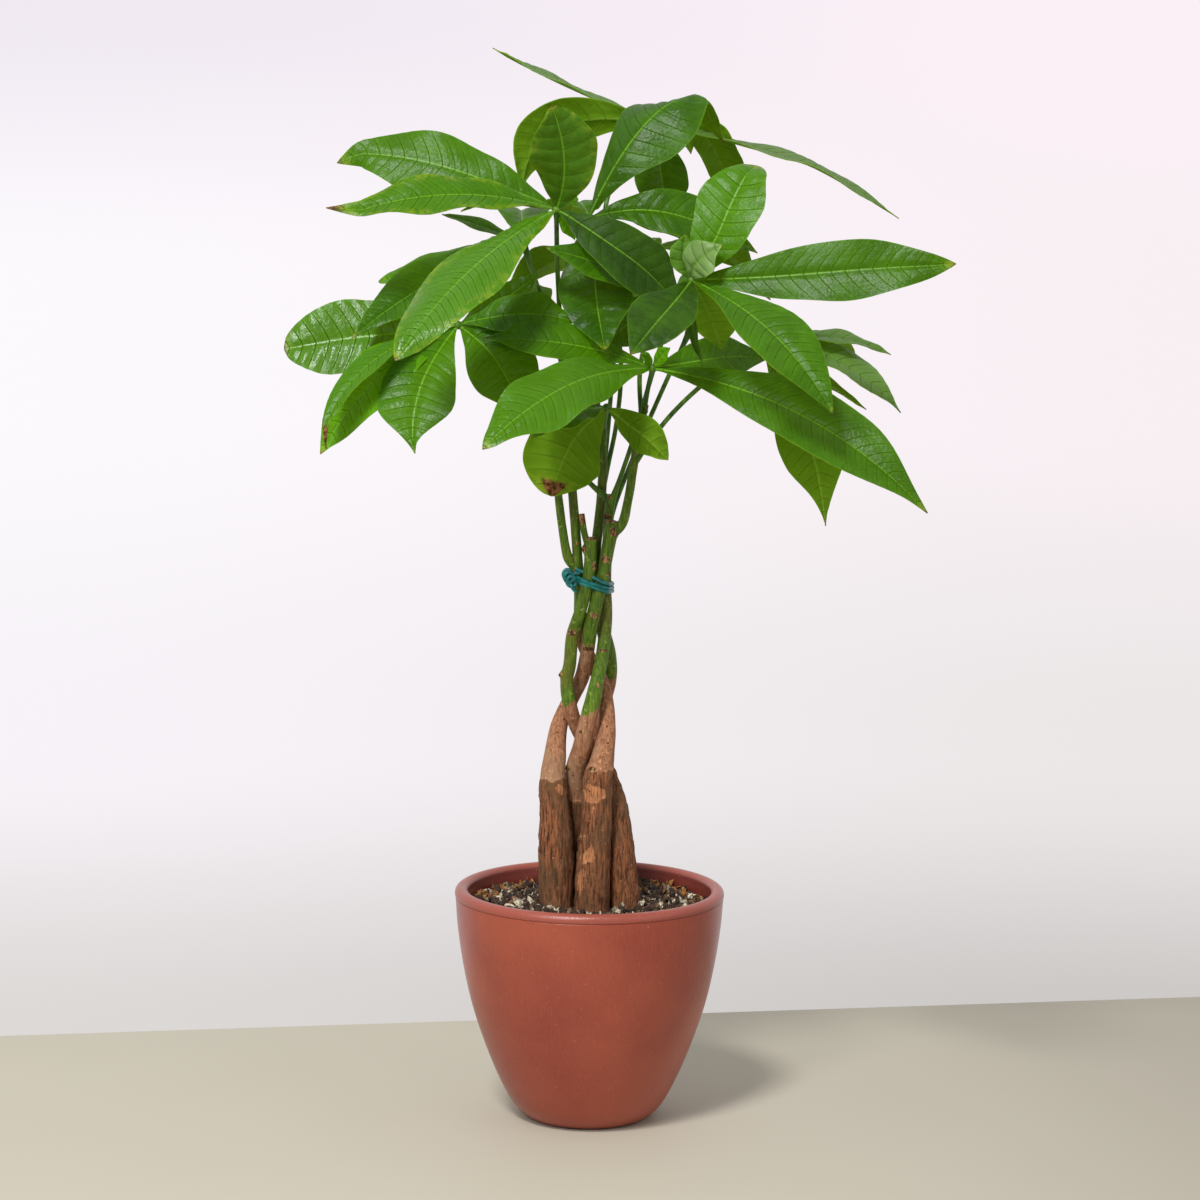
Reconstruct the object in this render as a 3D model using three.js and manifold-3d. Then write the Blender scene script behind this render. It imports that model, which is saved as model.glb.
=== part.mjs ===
// A potted money tree: five braided stems with palmate leaves in a round pot.
// Millimetres, +Z up. The origin is the middle of the pot's flat underside.

import * as THREE from 'three';
import { mergeVertices } from 'three/addons/utils/BufferGeometryUtils.js';
import Module from 'manifold-3d';

// ---------------------------------------------------------------------------
// Driving dimensions

const GAP = 0.3;                  // clearance where two pieces meet

const POT_HEIGHT = 143;
const POT_RIM_RADIUS = 82.5;
const POT_LIP_WIDTH = 8.2;        // the rim's top, from its outer to its inner edge
const POT_FOOT_RADIUS = 32;       // the flat underside
const POT_FLOOR = 9;              // thickness of the floor
const POT_SIDES = 40;

const SOIL_TOP = 131;             // 12 below the rim
const SOIL_RINGS = 5;
const SOIL_SIDES = 28;
const SOIL_BUMP = 2.2;            // how far the crumbs stand out of the surface
const SOIL_HOLE_SLACK = 0.3;

const STEM_SIDES = 9;
const STEM_STEP = 11;             // length of one ring of a stem
const PETIOLE_RADIUS = 1.45;
const PETIOLE_SIDES = 6;
const PETIOLE_STEP = 16;
const HUB_RADIUS = 3.2;           // the small knob where the leaflets meet

const BLADE_THICKNESS = 0.8;
const BLADE_ROOT_WIDTH = 2.4;     // a leaflet's short stalk inside the knob
const BLADE_TIP_WIDTH = 1.0;
const BLADE_STEP = 13;            // length of one row of a leaflet
const BLADE_FOLD = 0.1;           // how steeply its halves rise from the rib
const BLADE_WAVE = 0.035;         // height of its edge's waves, as a share of its width
const BLADE_TAPER = 0.35;         // how much narrower the drawn-out tip is
const HOOK_FROM = 0.9;            // where a bent tip starts, as a share of the rib
const HOOK_POWER = 1.3;           // how slowly it starts to bend
const TURN_BEFORE = 0.4;          // a blade that turns over starts this much before the bend
const TURN_AFTER = 0.3;           // and has turned this much after its start
const RIB_STEP = 0.01;            // share of the rib over which its direction is taken

const TIE_RADIUS = 13.6;
const TIE_WIRE_RADIUS = 1.0;
const TIE_HEIGHT = 330;
const TIE_CENTRE = [0, -1.3];

const SEED = 20261;

// Each stem from the soil up: [x, y, z, radius]. A second list is a green side shoot or a stub.
const STEMS = {
  stem_left: [
    [[-19, -4, 92, 9.4], [-20, -6, 128, 9.9], [-21, -6, 172, 9.8], [-21.5, -6, 189, 8.7],
      [-23, -6, 210, 7.8], [-22, -3.5, 224, 6.8], [-19.3, 4.8, 243, 5.1], [-13, 9.6, 257, 4.8],
      [-6, 5.5, 272, 4.5], [-3.2, -1, 287, 4.2], [-1.5, -6, 301, 4.3], [0.5, -8, 312, 4.2],
      [3, -8, 323, 4], [5.5, -7, 332.5, 3.8], [7.7, -6, 345, 3.8], [10.5, -5.5, 362, 4.3],
      [12, -5.5, 369, 4]],
    [[11, -5.5, 360, 2.6], [17, -8, 367, 2.9], [20.6, -10, 382, 2.7], [25.5, -15, 416, 2.5],
      [30, -20, 440, 2.2]],
  ],
  stem_right: [
    [[20, -3, 92, 8.5], [21, -4, 128, 9], [17.7, -2, 172, 8], [14, 1, 196, 7.2],
      [7.3, 6, 214, 6.4], [-1, 8.8, 228, 5.4], [-9.3, 1, 243, 4.6], [-13.2, -4.2, 256, 4.3],
      [-15.2, -4, 271, 4], [-13.5, -5, 281, 3.9], [-12, -6, 299, 3.8], [-6.8, -9, 316, 3.7],
      [-3.8, -9, 329, 3.6], [-1.9, -7, 342, 3.7], [-1.5, -6, 359, 3.6]],
    [[-2.5, -6.5, 351, 2], [-5.6, -7, 362, 2], [-7.4, -7.4, 373, 1.9]],
  ],
  stem_middle: [
    [[-8, 9, 92, 7], [-8, 10, 128, 7.5], [-8.5, 9, 176, 7.2], [-9, 6, 198, 6.9],
      [-8.5, 0, 217, 6.5], [-5.6, -5.5, 230, 5.8], [-3.6, -8.5, 241, 5.3], [0.8, -9.5, 260, 4.8],
      [3, -8.5, 271, 4.3], [5.1, -6, 281, 4.1], [7.4, -2, 297, 3.9], [8.2, 1, 312, 3.8],
      [7.5, 3, 329, 3.6], [8, 3.5, 345, 3.3], [8.8, 3.3, 362, 3], [10.3, 1.5, 384, 2.9]],
  ],
  stem_front: [
    [[1, -10, 92, 9.5], [1.3, -14, 128, 10], [2, -14, 155, 9.8], [3.3, -13.5, 176, 9],
      [4, -13, 192, 8.6], [4.5, -13, 212, 8.5], [7, -10, 224, 7.2], [9.5, -4, 240, 5.4],
      [9.2, 3, 254, 4.7], [6, 7.5, 268, 4.5], [-0.5, 10, 281, 4.3], [-5.7, 7.4, 293, 4.1],
      [-7.3, 3, 308, 4], [-8.2, -1, 329, 3.3], [-9.8, -2, 350, 3], [-12.6, -3, 382, 2.8],
      [-17, -3, 423, 2.7], [-19, -3, 462, 2.5], [-21.5, -5, 495, 2.2]],
    [[-9.6, -2, 338, 2.4], [-14.9, -4.4, 345.5, 3], [-16.6, -5.5, 351.5, 2.8],
      [-18.4, -6.5, 362, 2.6], [-21.2, -7.5, 383, 2.4], [-25, -8, 423, 2.1]],
  ],
  stem_back: [
    [[9, 13, 92, 6.8], [9, 15, 128, 7.2], [7, 17, 170, 6.8], [1, 18.5, 205, 6],
      [-2, 20.4, 229, 5.6], [4, 19, 248, 5.2], [10, 17, 266, 4.8], [10.5, 13, 283, 4.5],
      [7, 11, 298, 4.3], [3.2, 9, 312, 4], [0.5, 6, 329, 3.6], [1.5, 6.5, 350, 3.2],
      [3.5, 8, 370, 3], [5, 8, 392, 2.8], [5, 4, 426, 2.5]],
  ],
};

// Each frond: its hub, its petiole's way to the hub from the stem that carries it, and its
// leaflets. A leaflet is its tip, its bow (how far the middle of its rib stands out of the
// straight line from hub to tip), the way its upper side faces, and its width. Optional:
// end (the way its upper side faces at the tip, where it turns over), fold (how steeply its
// halves rise from the rib), blunt (1 is a round tip), taper (how finely the tip is drawn out)
// and hook (how far the tip is bent from the arc, starting at the share of the length in from).
const FRONDS = {
  frond_01: {
    stem: 'stem_front', hub: [-24, -20, 555], way: [[-21.5, -5, 488], [-23.5, -11, 528]],
    leaflets: [
      { tip: [-152, -5, 587], bow: [0, -6, 8], face: [0, -1, 0.5], width: 42, fold: -0.1, blunt: 0.45 },
      { tip: [-148, -60, 550], bow: [0, -8, 11], face: [0, -0.8, 0.8], width: 30, blunt: 0.35 },
      {
        tip: [-112, -135, 471], bow: [-4, -12, 8], face: [-0.3, -0.9, 0.7], width: 42,
        fold: -0.2, blunt: 0.5,
      },
      { tip: [-27, -50, 615], bow: [6, -4, 0], face: [0, -1, 0.3], width: 40, blunt: 0.6 },
      { tip: [54, -13, 494], bow: [2, -18, 5], face: [0.2, -1, 0.6], width: 38, blunt: 0.3 },
      { tip: [-82, 15, 553], bow: [0, 0, 6], face: [0, 0.3, 1], width: 22 },
      { tip: [-13, -13, 537], bow: [1, 0, 1], face: [0, -1, 0], width: 10 },
      { tip: [-13, 0, 567], bow: [0, 0, 1], face: [0, -1, 0.2], width: 13 },
    ],
  },
  frond_02: {
    stem: 'stem_back', hub: [-5, 5, 550],
    way: [[4.6, 8, 402], [2, 13, 435], [1, 13, 465], [-3, 11, 510]],
    leaflets: [
      {
        tip: [76, 34, 626], bow: [-4, -9, 22], face: [-0.6, -1, 0.45], end: [0.4, 0.6, 0.7],
        width: 54, fold: -0.4, taper: 0.2, hook: [0, 0, -30], from: 0.8,
      },
      { tip: [97, 15, 530], bow: [0, -6, 13], face: [0, -1, 0.6], width: 32 },
      { tip: [5.7, -52, 473.5], bow: [-1, 8, 0], face: [0, -1, 0.2], width: 44, blunt: 0.2 },
      { tip: [-20, 95, 540], bow: [0, 0, 14], face: [0, 0.5, 1], width: 34 },
      { tip: [84, 48, 522], bow: [0, 0, 10], face: [0, 0.3, 1], width: 30 },
    ],
  },
  frond_03: {
    stem: 'stem_back', hub: [40, 70, 607],
    way: [[4.6, 9, 386], [13, 17, 425], [15.5, 22, 462], [9, 33, 510], [4, 42, 545], [13, 58, 580]],
    leaflets: [
      { tip: [-66, 85, 653], bow: [0, 0, -3], face: [0.2, -0.08, 1], width: 28 },
      {
        tip: [187, 75, 566], bow: [0, 0, 2], face: [-0.1, -0.16, 1], width: 32,
        hook: [0, 0, -15], from: 0.6,
      },
      { tip: [88, 88, 541], bow: [7, 3, 21], face: [0.6, 0.7, 0.6], width: 34 },
      { tip: [44, 58, 547], bow: [-3, 0, 0], face: [0, -1, 0.3], width: 33 },
      { tip: [-46, 48, 568], bow: [-21, 1, 17], face: [-0.4, 1, 0.5], width: 37, blunt: 0.2 },
      { tip: [60, 170, 590], bow: [0, 0, 18], face: [0, 0.2, 1], width: 38 },
    ],
  },
  frond_04: {
    stem: 'stem_middle', hub: [56, -45, 515],
    way: [[10.2, 1, 378], [23, -3, 417], [32, -6, 450], [43, -22, 488]],
    leaflets: [
      { tip: [208, -70, 527], bow: [0, -4, 0], face: [0, -1, 0.3], width: 36, blunt: 0.45 },
      { tip: [135, -125, 443], bow: [6, -14, 8], face: [0.2, -0.8, 0.6], width: 38 },
      { tip: [20, -115, 475], bow: [2, -8, 3], face: [-0.2, -1, 0.3], width: 36, blunt: 0.3 },
      {
        tip: [92, -32, 586], bow: [1, -8, 1.5], face: [-0.25, -1, 0.35], end: [0, -0.6, 1], width: 40,
        blunt: 0.8, hook: [2, 9, -4], from: 0.85,
      },
      { tip: [73, -60, 536], bow: [-5, -3, 1], face: [-0.4, -1, 0.3], width: 24 },
      { tip: [52, -50, 542], bow: [-3, -1, 0], face: [0.4, -1, 0.2], width: 19 },
      { tip: [62.6, -50, 467], bow: [-3, -3, 0], face: [-1, -0.6, 0.2], width: 10 },
      { tip: [75, -15, 473], bow: [2, 0, 0], face: [0.3, 1, 0.2], width: 30 },
    ],
  },
  frond_05: {
    stem: 'stem_left', hub: [44, -6, 505], way: [[28, -17.5, 428], [27, -8, 462], [34, -5, 488]],
    leaflets: [
      { tip: [-30, -40, 533], bow: [0, -7, 3], face: [0, -0.9, 0.7], width: 26 },
      { tip: [3, 10, 471], bow: [0, 2, 2], face: [0, -1, 0.3], width: 28 },
      { tip: [108, 70, 500], bow: [0, 0, 14], face: [0.2, 0.3, 1], width: 36 },
      { tip: [25, 85, 480], bow: [0, 0, 14], face: [0, 0.6, 1], width: 36 },
    ],
  },
  frond_06: {
    stem: 'stem_left', hub: [34, -25, 462], way: [[29.5, -19.5, 436], [31.5, -22, 450]],
    leaflets: [
      {
        tip: [-63, -125, 421], bow: [-3, -12, 13], face: [-0.2, -0.9, 0.5], width: 42,
        fold: -0.1, blunt: 0.4,
      },
      { tip: [191, -110, 386], bow: [8, -14, 15], face: [0.2, -0.9, 0.5], width: 42 },
      { tip: [105, 10, 467], bow: [0, -2, 3], face: [0, -1, 0.5], width: 28 },
      { tip: [-66, -48, 480], bow: [0, -6, 6], face: [0, -0.8, 0.8], width: 30 },
      { tip: [27, -38, 471], bow: [0, 0, 1], face: [0, -1, 0.5], width: 8 },
      { tip: [44, -35, 475], bow: [0, 0, 1], face: [0, -1, 0.5], width: 9 },
    ],
  },
  frond_07: {
    stem: 'stem_back', hub: [7, -18, 438], way: [[5, 4, 424], [6.5, -8, 432]],
    leaflets: [
      { tip: [-25, -34, 386], bow: [-6, -4, 3], face: [-0.2, 1, 0.2], width: 50, blunt: 0.8 },
      { tip: [43.8, -34, 408.5], bow: [1, -4, 1.5], face: [0.2, 1, 0.3], width: 23, blunt: 0.4 },
      { tip: [-36, -66, 423], bow: [0, -4, 6], face: [-0.3, -0.8, 0.6], width: 28 },
    ],
  },
  frond_08: {
    stem: 'stem_left', hub: [102, 40, 473],
    way: [[24.5, -14, 406], [45, -2, 432], [63, 10, 449], [85, 28, 465]],
    leaflets: [
      { tip: [180, 30, 469], bow: [0, 0, 8], face: [0.2, -0.3, 1], width: 24 },
      { tip: [185, 10, 435], bow: [3, 0, 12], face: [0.5, -0.5, 0.8], width: 34, taper: 0.5 },
      { tip: [165, 20, 436], bow: [0, 0, 2], face: [0.2, 0.5, 0.8], width: 13 },
      { tip: [131, 5, 447], bow: [0, 0, 2], face: [0.2, 1, 0.6], width: 24 },
      { tip: [142, 25, 364], bow: [7, 0, 3], face: [0.3, 1, 0.2], width: 42, taper: 0.75 },
      { tip: [168, 116, 448], bow: [0, 0, 14], face: [0.2, 0.5, 1], width: 36 },
    ],
  },
  frond_09: {
    stem: 'stem_front', hub: [-82, -15, 486],
    way: [[-24.7, -8, 419], [-38, -12, 450], [-60, -15, 475]],
    leaflets: [
      { tip: [-185, -22, 471], bow: [0, -3, 1], face: [0, -1, 0.4], width: 46, blunt: 1 },
      { tip: [-159, -84, 422], bow: [-10, -8, 12], face: [-0.5, -0.7, 0.6], width: 19 },
      { tip: [-160, -62, 412], bow: [-5, -6, 9], face: [-0.3, -1, 0.2], width: 34, blunt: 0.3 },
      { tip: [-104, -75, 414], bow: [-10, -8, -1], face: [-0.1, -1, 0.3], width: 46, taper: 0.75 },
      { tip: [-41, -50, 433], bow: [5, -4, 4], face: [0.2, -1, 0.3], width: 42 },
      { tip: [-28, -22, 470], bow: [0, -2, 3], face: [0.1, -0.8, 0.7], width: 26 },
      { tip: [-10, -30, 489], bow: [0, -4, 6], face: [0, -0.8, 0.7], width: 30 },
      { tip: [-33, 5, 518], bow: [0, 4, -2], face: [0, -1, 0.6], width: 18 },
    ],
  },
  frond_10: {
    stem: 'stem_middle', hub: [-44, 25, 533],
    way: [[9.6, 2, 380], [-8, 4, 398], [-16, 12, 438], [-25, 16, 480], [-38, 21, 515]],
    leaflets: [
      { tip: [-143, -45, 479], bow: [-4, -4, 6], face: [-0.3, -0.9, 0.4], width: 33 },
      { tip: [-134, 52, 509], bow: [0, 0, 1], face: [-0.3, -0.6, 1], width: 26, blunt: 0.8 },
      { tip: [-94, 25, 551], bow: [0, 0, 2], face: [0, -0.5, 1], width: 14 },
      { tip: [-50, 130, 545], bow: [0, 0, 14], face: [0, 0.5, 1], width: 36 },
    ],
  },
  frond_11: {
    stem: 'stem_back', hub: [20, 92, 520], way: [[4.2, 8, 376], [8, 32, 420], [13, 68, 480]],
    leaflets: [
      { tip: [20, 195, 505], bow: [0, 0, 20], face: [0, 0.4, 1], width: 42 },
      { tip: [-60, 165, 495], bow: [0, 0, 16], face: [0, 0.4, 1], width: 38 },
      { tip: [105, 165, 510], bow: [0, 0, 18], face: [0, 0.4, 1], width: 40 },
    ],
  },
  frond_12: {
    stem: 'stem_front', hub: [-62, 75, 502], way: [[-15, -3, 406], [-28, 20, 440], [-50, 58, 484]],
    leaflets: [
      { tip: [-124, 90, 488], bow: [0, 0, 9], face: [-0.4, 0.2, 1], width: 34 },
      { tip: [-98, 158, 478], bow: [0, 0, 14], face: [-0.2, 0.4, 1], width: 38 },
      { tip: [-34, 172, 480], bow: [0, 0, 12], face: [0.1, 0.5, 1], width: 34 },
    ],
  },
  frond_13: {
    stem: 'stem_middle', hub: [58, 84, 478], way: [[9, 2.7, 368], [25, 26, 408], [46, 62, 454]],
    leaflets: [
      { tip: [114, 108, 470], bow: [0, 0, 9], face: [0.4, 0.2, 1], width: 30 },
      { tip: [112, 175, 466], bow: [0, 0, 14], face: [0.2, 0.4, 1], width: 38 },
      { tip: [38, 188, 468], bow: [0, 0, 13], face: [0, 0.5, 1], width: 36 },
    ],
  },
};

// ---------------------------------------------------------------------------
// Solids and meshes

const wasm = await Module();
wasm.setup();

function solidFrom(geometry) {
  geometry.deleteAttribute('normal');
  geometry.deleteAttribute('uv');
  const merged = mergeVertices(geometry, 1e-4);
  return new wasm.Manifold(new wasm.Mesh({
    numProp: 3,
    vertProperties: new Float32Array(merged.attributes.position.array),
    triVerts: new Uint32Array(merged.index.array),
  }));
}

function geometryFrom(solid) {
  const mesh = solid.getMesh();
  const geometry = new THREE.BufferGeometry();
  geometry.setAttribute('position', new THREE.BufferAttribute(mesh.vertProperties, 3));
  geometry.setIndex(new THREE.BufferAttribute(mesh.triVerts, 1));
  const flat = geometry.toNonIndexed();
  flat.computeVertexNormals();
  return flat;
}

function joined(solids) {
  return solids.reduce((whole, piece) => whole.add(piece));
}

function polygonGeometry(points, faces) {
  const geometry = new THREE.BufferGeometry();
  geometry.setAttribute('position', new THREE.Float32BufferAttribute(points.flat(), 3));
  geometry.setIndex(faces.flat());
  return geometry;
}

// A small generator of even numbers from 0 to 1, the same each time.
function seededRandom(seed) {
  let state = seed;
  return () => {
    state = (state * 1664525 + 1013904223) % 4294967296;
    return state / 4294967296;
  };
}

// ---------------------------------------------------------------------------
// Tubes: a round bar along a smooth way, with its own radius at each point

function tube(stations, sides, step) {
  const curve = new THREE.CatmullRomCurve3(
    stations.map(([x, y, z]) => new THREE.Vector3(x, y, z)), false, 'centripetal');
  const rows = Math.max(2, Math.round(curve.getLength() / step));
  const radii = new THREE.CatmullRomCurve3(
    stations.map(([, , , radius], i) => new THREE.Vector3(radius, i, 0)), false, 'catmullrom');
  const points = [];
  const faces = [];
  const across = new THREE.Vector3(1, 0, 0);
  for (let i = 0; i <= rows; i += 1) {
    const t = i / rows;
    const parameter = curve.getUtoTmapping(t);
    const centre = curve.getPoint(parameter);
    const along = curve.getTangent(parameter);
    across.addScaledVector(along, -across.dot(along)).normalize();
    const aside = new THREE.Vector3().crossVectors(along, across);
    const radius = radii.getPoint(parameter).x;
    for (let j = 0; j < sides; j += 1) {
      const angle = 2 * Math.PI * j / sides;
      const point = centre.clone()
        .addScaledVector(across, radius * Math.cos(angle))
        .addScaledVector(aside, radius * Math.sin(angle));
      points.push(point.toArray());
    }
  }
  for (let i = 0; i < rows; i += 1) {
    for (let j = 0; j < sides; j += 1) {
      const a = i * sides + j;
      const b = i * sides + (j + 1) % sides;
      faces.push([a, b, b + sides], [a, b + sides, a + sides]);
    }
  }
  const last = rows * sides;
  for (let j = 1; j < sides - 1; j += 1) {
    faces.push([0, j + 1, j], [last, last + j, last + j + 1]);
  }
  return solidFrom(polygonGeometry(points, faces));
}

function thicker(stations, extra) {
  return stations.map(([x, y, z, radius]) => [x, y, z, radius + extra]);
}

// ---------------------------------------------------------------------------
// Pot and soil

function potOutline() {
  const outer = new THREE.CatmullRomCurve3([
    [POT_FOOT_RADIUS, 0], [39, 2], [46, 8.3], [51.9, 18.4], [60.8, 38.5], [71.2, 68.7],
    [77, 94], [81, 123],
  ].map(([r, z]) => new THREE.Vector3(r, z, 0)), false, 'centripetal');
  const outline = [new THREE.Vector2(0, 0)];
  for (const point of outer.getPoints(9)) {
    outline.push(new THREE.Vector2(point.x, point.y));
  }
  const lip = POT_LIP_WIDTH / 2;
  const lipCentre = new THREE.Vector2(POT_RIM_RADIUS - lip, POT_HEIGHT - lip);
  for (let i = 0; i <= 6; i += 1) {
    const angle = -0.15 + (Math.PI + 0.15) * i / 6;
    outline.push(new THREE.Vector2(
      lipCentre.x + lip * Math.cos(angle), lipCentre.y + lip * Math.sin(angle)));
  }
  for (const [r, z] of potInside()) {
    outline.push(new THREE.Vector2(r, z));
  }
  return outline;
}

// The inside wall, from under the lip down to the middle of the floor.
function potInside() {
  return [
    [POT_RIM_RADIUS - POT_LIP_WIDTH, 126], [70.6, 94], [64.6, 68.7], [54.2, 38.5],
    [44, 18.4], [36, POT_FLOOR], [0, POT_FLOOR],
  ];
}

function makePot() {
  return solidFrom(new THREE.LatheGeometry(potOutline(), POT_SIDES).rotateX(Math.PI / 2));
}

function makeSoil(holes) {
  const random = seededRandom(SEED);
  const points = [[0, 0, SOIL_TOP]];
  const radius = POT_RIM_RADIUS - POT_LIP_WIDTH - GAP - 0.2;
  for (let ring = 1; ring <= SOIL_RINGS; ring += 1) {
    for (let j = 0; j < SOIL_SIDES; j += 1) {
      const angle = 2 * Math.PI * (j + 0.5 * (ring % 2)) / SOIL_SIDES;
      const atWall = ring === SOIL_RINGS;
      const r = radius * ring / SOIL_RINGS;
      const bump = atWall ? -1 : SOIL_BUMP * (2 * random() - 1);
      points.push([r * Math.cos(angle), r * Math.sin(angle), SOIL_TOP + bump]);
    }
  }
  const below = potInside().slice(1, -1).map(([r, z]) => [r - 2 * GAP, z + 2 * GAP]);
  for (const [r, z] of below) {
    for (let j = 0; j < SOIL_SIDES; j += 1) {
      const angle = 2 * Math.PI * (j + 0.5 * (SOIL_RINGS % 2)) / SOIL_SIDES;
      points.push([r * Math.cos(angle), r * Math.sin(angle), z]);
    }
  }
  points.push([0, 0, POT_FLOOR + 2 * GAP]);
  const faces = [];
  const start = (row) => 1 + row * SOIL_SIDES;
  const rows = SOIL_RINGS + below.length;
  for (let j = 0; j < SOIL_SIDES; j += 1) {
    const next = (j + 1) % SOIL_SIDES;
    faces.push([0, start(0) + j, start(0) + next]);
    for (let row = 0; row < rows - 1; row += 1) {
      const a = start(row) + j;
      const b = start(row) + next;
      const c = start(row + 1) + j;
      const d = start(row + 1) + next;
      const turned = row < SOIL_RINGS - 1 && row % 2 === 0;
      if (turned) {
        // rings with an odd number start half a step further round
        faces.push([a, c, b], [b, c, d]);
      } else {
        faces.push([a, c, d], [a, d, b]);
      }
    }
    faces.push([points.length - 1, start(rows - 1) + next, start(rows - 1) + j]);
  }
  const body = solidFrom(polygonGeometry(points, faces));
  return holes.reduce((soil, hole) => soil.subtract(hole), body);
}

// ---------------------------------------------------------------------------
// Stems and their tie

function stemSolid(name, extra = 0) {
  return joined(STEMS[name].map((way) => tube(thicker(way, extra), STEM_SIDES, STEM_STEP)));
}

function makeTie() {
  const place = (geometry, tilt, turn, height) => geometry
    .rotateX(tilt)
    .rotateY(turn)
    .translate(TIE_CENTRE[0], TIE_CENTRE[1], height);
  const ring = () => new THREE.TorusGeometry(TIE_RADIUS, TIE_WIRE_RADIUS, 5, 22);
  const knot = new THREE.SphereGeometry(2.4, 8, 6)
    .translate(-TIE_RADIUS * 0.86 + TIE_CENTRE[0], -TIE_RADIUS * 0.5 + TIE_CENTRE[1] - 1.2, TIE_HEIGHT + 3);
  const tails = [
    [[-12, -8.5, 333, 0.9], [-14.5, -11, 337, 0.9], [-17, -12, 336, 0.9]],
    [[-12, -8.5, 332, 0.9], [-14, -11.5, 329, 0.9], [-15, -13, 324, 0.9]],
  ];
  return joined([
    solidFrom(place(ring(), 0.03, 0.2, TIE_HEIGHT)),
    solidFrom(place(ring(), -0.12, 0.02, TIE_HEIGHT + 1.2)),
    solidFrom(knot),
    ...tails.map((tail) => tube(tail, 6, 3)),
  ]);
}

// ---------------------------------------------------------------------------
// Fronds

// Half a leaflet's width along its rib, as a share of its widest: narrow at the stalk and widest
// past the middle. The tip is drawn out where blunt is 0 and round where it is 1.
function leafletWidth(u, blunt, taper) {
  const body = Math.sin(Math.PI * u ** (1.2 + 0.15 * blunt)) ** (0.95 - 0.45 * blunt);
  return body * (1 - taper * (1 - blunt) * THREE.MathUtils.smoothstep(u, 0.65, 1));
}

// Points on the rib: an arc from hub to tip whose last part is bent by the hook.
function ribPoint(rib, u, hook, from) {
  const bent = Math.max(0, (u - from) / (1 - from)) ** HOOK_POWER;
  return rib.getPoint(u).addScaledVector(hook, bent);
}

function leaflet(hub, {
  tip, bow, face, end = face, width, fold = BLADE_FOLD, blunt = 0, taper = BLADE_TAPER,
  hook = [0, 0, 0], from = HOOK_FROM,
}) {
  const start = new THREE.Vector3(...hub);
  const finish = new THREE.Vector3(...tip);
  const middle = start.clone().lerp(finish, 0.5).addScaledVector(new THREE.Vector3(...bow), 2);
  const rib = new THREE.QuadraticBezierCurve3(start, middle, finish);
  const faceAtHub = new THREE.Vector3(...face).normalize();
  const faceAtTip = new THREE.Vector3(...end).normalize();
  const bend = new THREE.Vector3(...hook);
  const rows = Math.max(4, Math.min(10, Math.round(rib.getLength() / BLADE_STEP)));
  const points = [];
  for (let i = 0; i <= rows; i += 1) {
    const u = i / rows;
    const centre = ribPoint(rib, u, bend, from);
    const along = ribPoint(rib, Math.min(1, u + RIB_STEP), bend, from)
      .sub(ribPoint(rib, Math.max(0, u - RIB_STEP), bend, from)).normalize();
    const turned = THREE.MathUtils.smoothstep(
      u, from - TURN_BEFORE, Math.min(1, from + TURN_AFTER));
    const upper = faceAtHub.clone().lerp(faceAtTip, turned);
    const aside = new THREE.Vector3().crossVectors(along, upper).normalize();
    const out = new THREE.Vector3().crossVectors(aside, along);
    const least = THREE.MathUtils.lerp(BLADE_ROOT_WIDTH, BLADE_TIP_WIDTH, u) / 2;
    const half = Math.max(least, width / 2 * leafletWidth(Math.min(u, 0.999), blunt, taper));
    for (const side of [-1, 0, 1]) {
      const wave = side * BLADE_WAVE * width * Math.sin(2 * Math.PI * (2.2 * u + 0.01 * tip[0]));
      const rise = Math.abs(side) * (half * fold + wave * half / (width / 2));
      for (const layer of [0.5, -0.5]) {
        points.push(centre.clone()
          .addScaledVector(aside, side * half)
          .addScaledVector(out, rise + layer * BLADE_THICKNESS)
          .toArray());
      }
    }
  }
  // each row holds six points: left, rib and right, each on the upper and the lower face
  const faces = [];
  const quad = (a, b, c, d) => faces.push([a, b, c], [a, c, d]);
  for (let i = 0; i < rows; i += 1) {
    const here = i * 6;
    const next = here + 6;
    for (const column of [0, 2]) {
      quad(here + column, here + column + 2, next + column + 2, next + column);
      quad(here + column + 1, next + column + 1, next + column + 3, here + column + 3);
    }
    quad(here, next, next + 1, here + 1);
    quad(here + 4, here + 5, next + 5, next + 4);
  }
  const last = rows * 6;
  for (const column of [0, 2]) {
    quad(column, column + 1, column + 3, column + 2);
    quad(last + column, last + column + 2, last + column + 3, last + column + 1);
  }
  return solidFrom(polygonGeometry(points, faces));
}

function makeFrond({ stem, hub, way, leaflets }) {
  const stations = [...way, hub].map((point) => [...point, PETIOLE_RADIUS]);
  const knob = new THREE.IcosahedronGeometry(HUB_RADIUS, 0).translate(...hub);
  const whole = joined([
    tube(stations, PETIOLE_SIDES, PETIOLE_STEP),
    solidFrom(knob),
    ...leaflets.map((row) => leaflet(hub, row)),
  ]);
  return whole.subtract(stemSolid(stem, GAP));
}

// ---------------------------------------------------------------------------
// The whole plant

const group = new THREE.Group();

function addPiece(name, solid, colour, roughness) {
  const material = new THREE.MeshStandardMaterial({ color: colour, roughness, metalness: 0 });
  const mesh = new THREE.Mesh(geometryFrom(solid), material);
  mesh.name = name;
  group.add(mesh);
}

addPiece('pot', makePot(), '#96483a', 0.5);
addPiece('soil', makeSoil(Object.keys(STEMS).map((name) => stemSolid(name, SOIL_HOLE_SLACK))),
  '#2b2019', 0.95);
for (const name of Object.keys(STEMS)) {
  addPiece(name, stemSolid(name), '#7a6247', 0.8);
}
addPiece('plant_tie', makeTie(), '#2f8f86', 0.5);
for (const [name, frond] of Object.entries(FRONDS)) {
  addPiece(name, makeFrond(frond), '#3f7a22', 0.4);
}

export default group;
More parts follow.
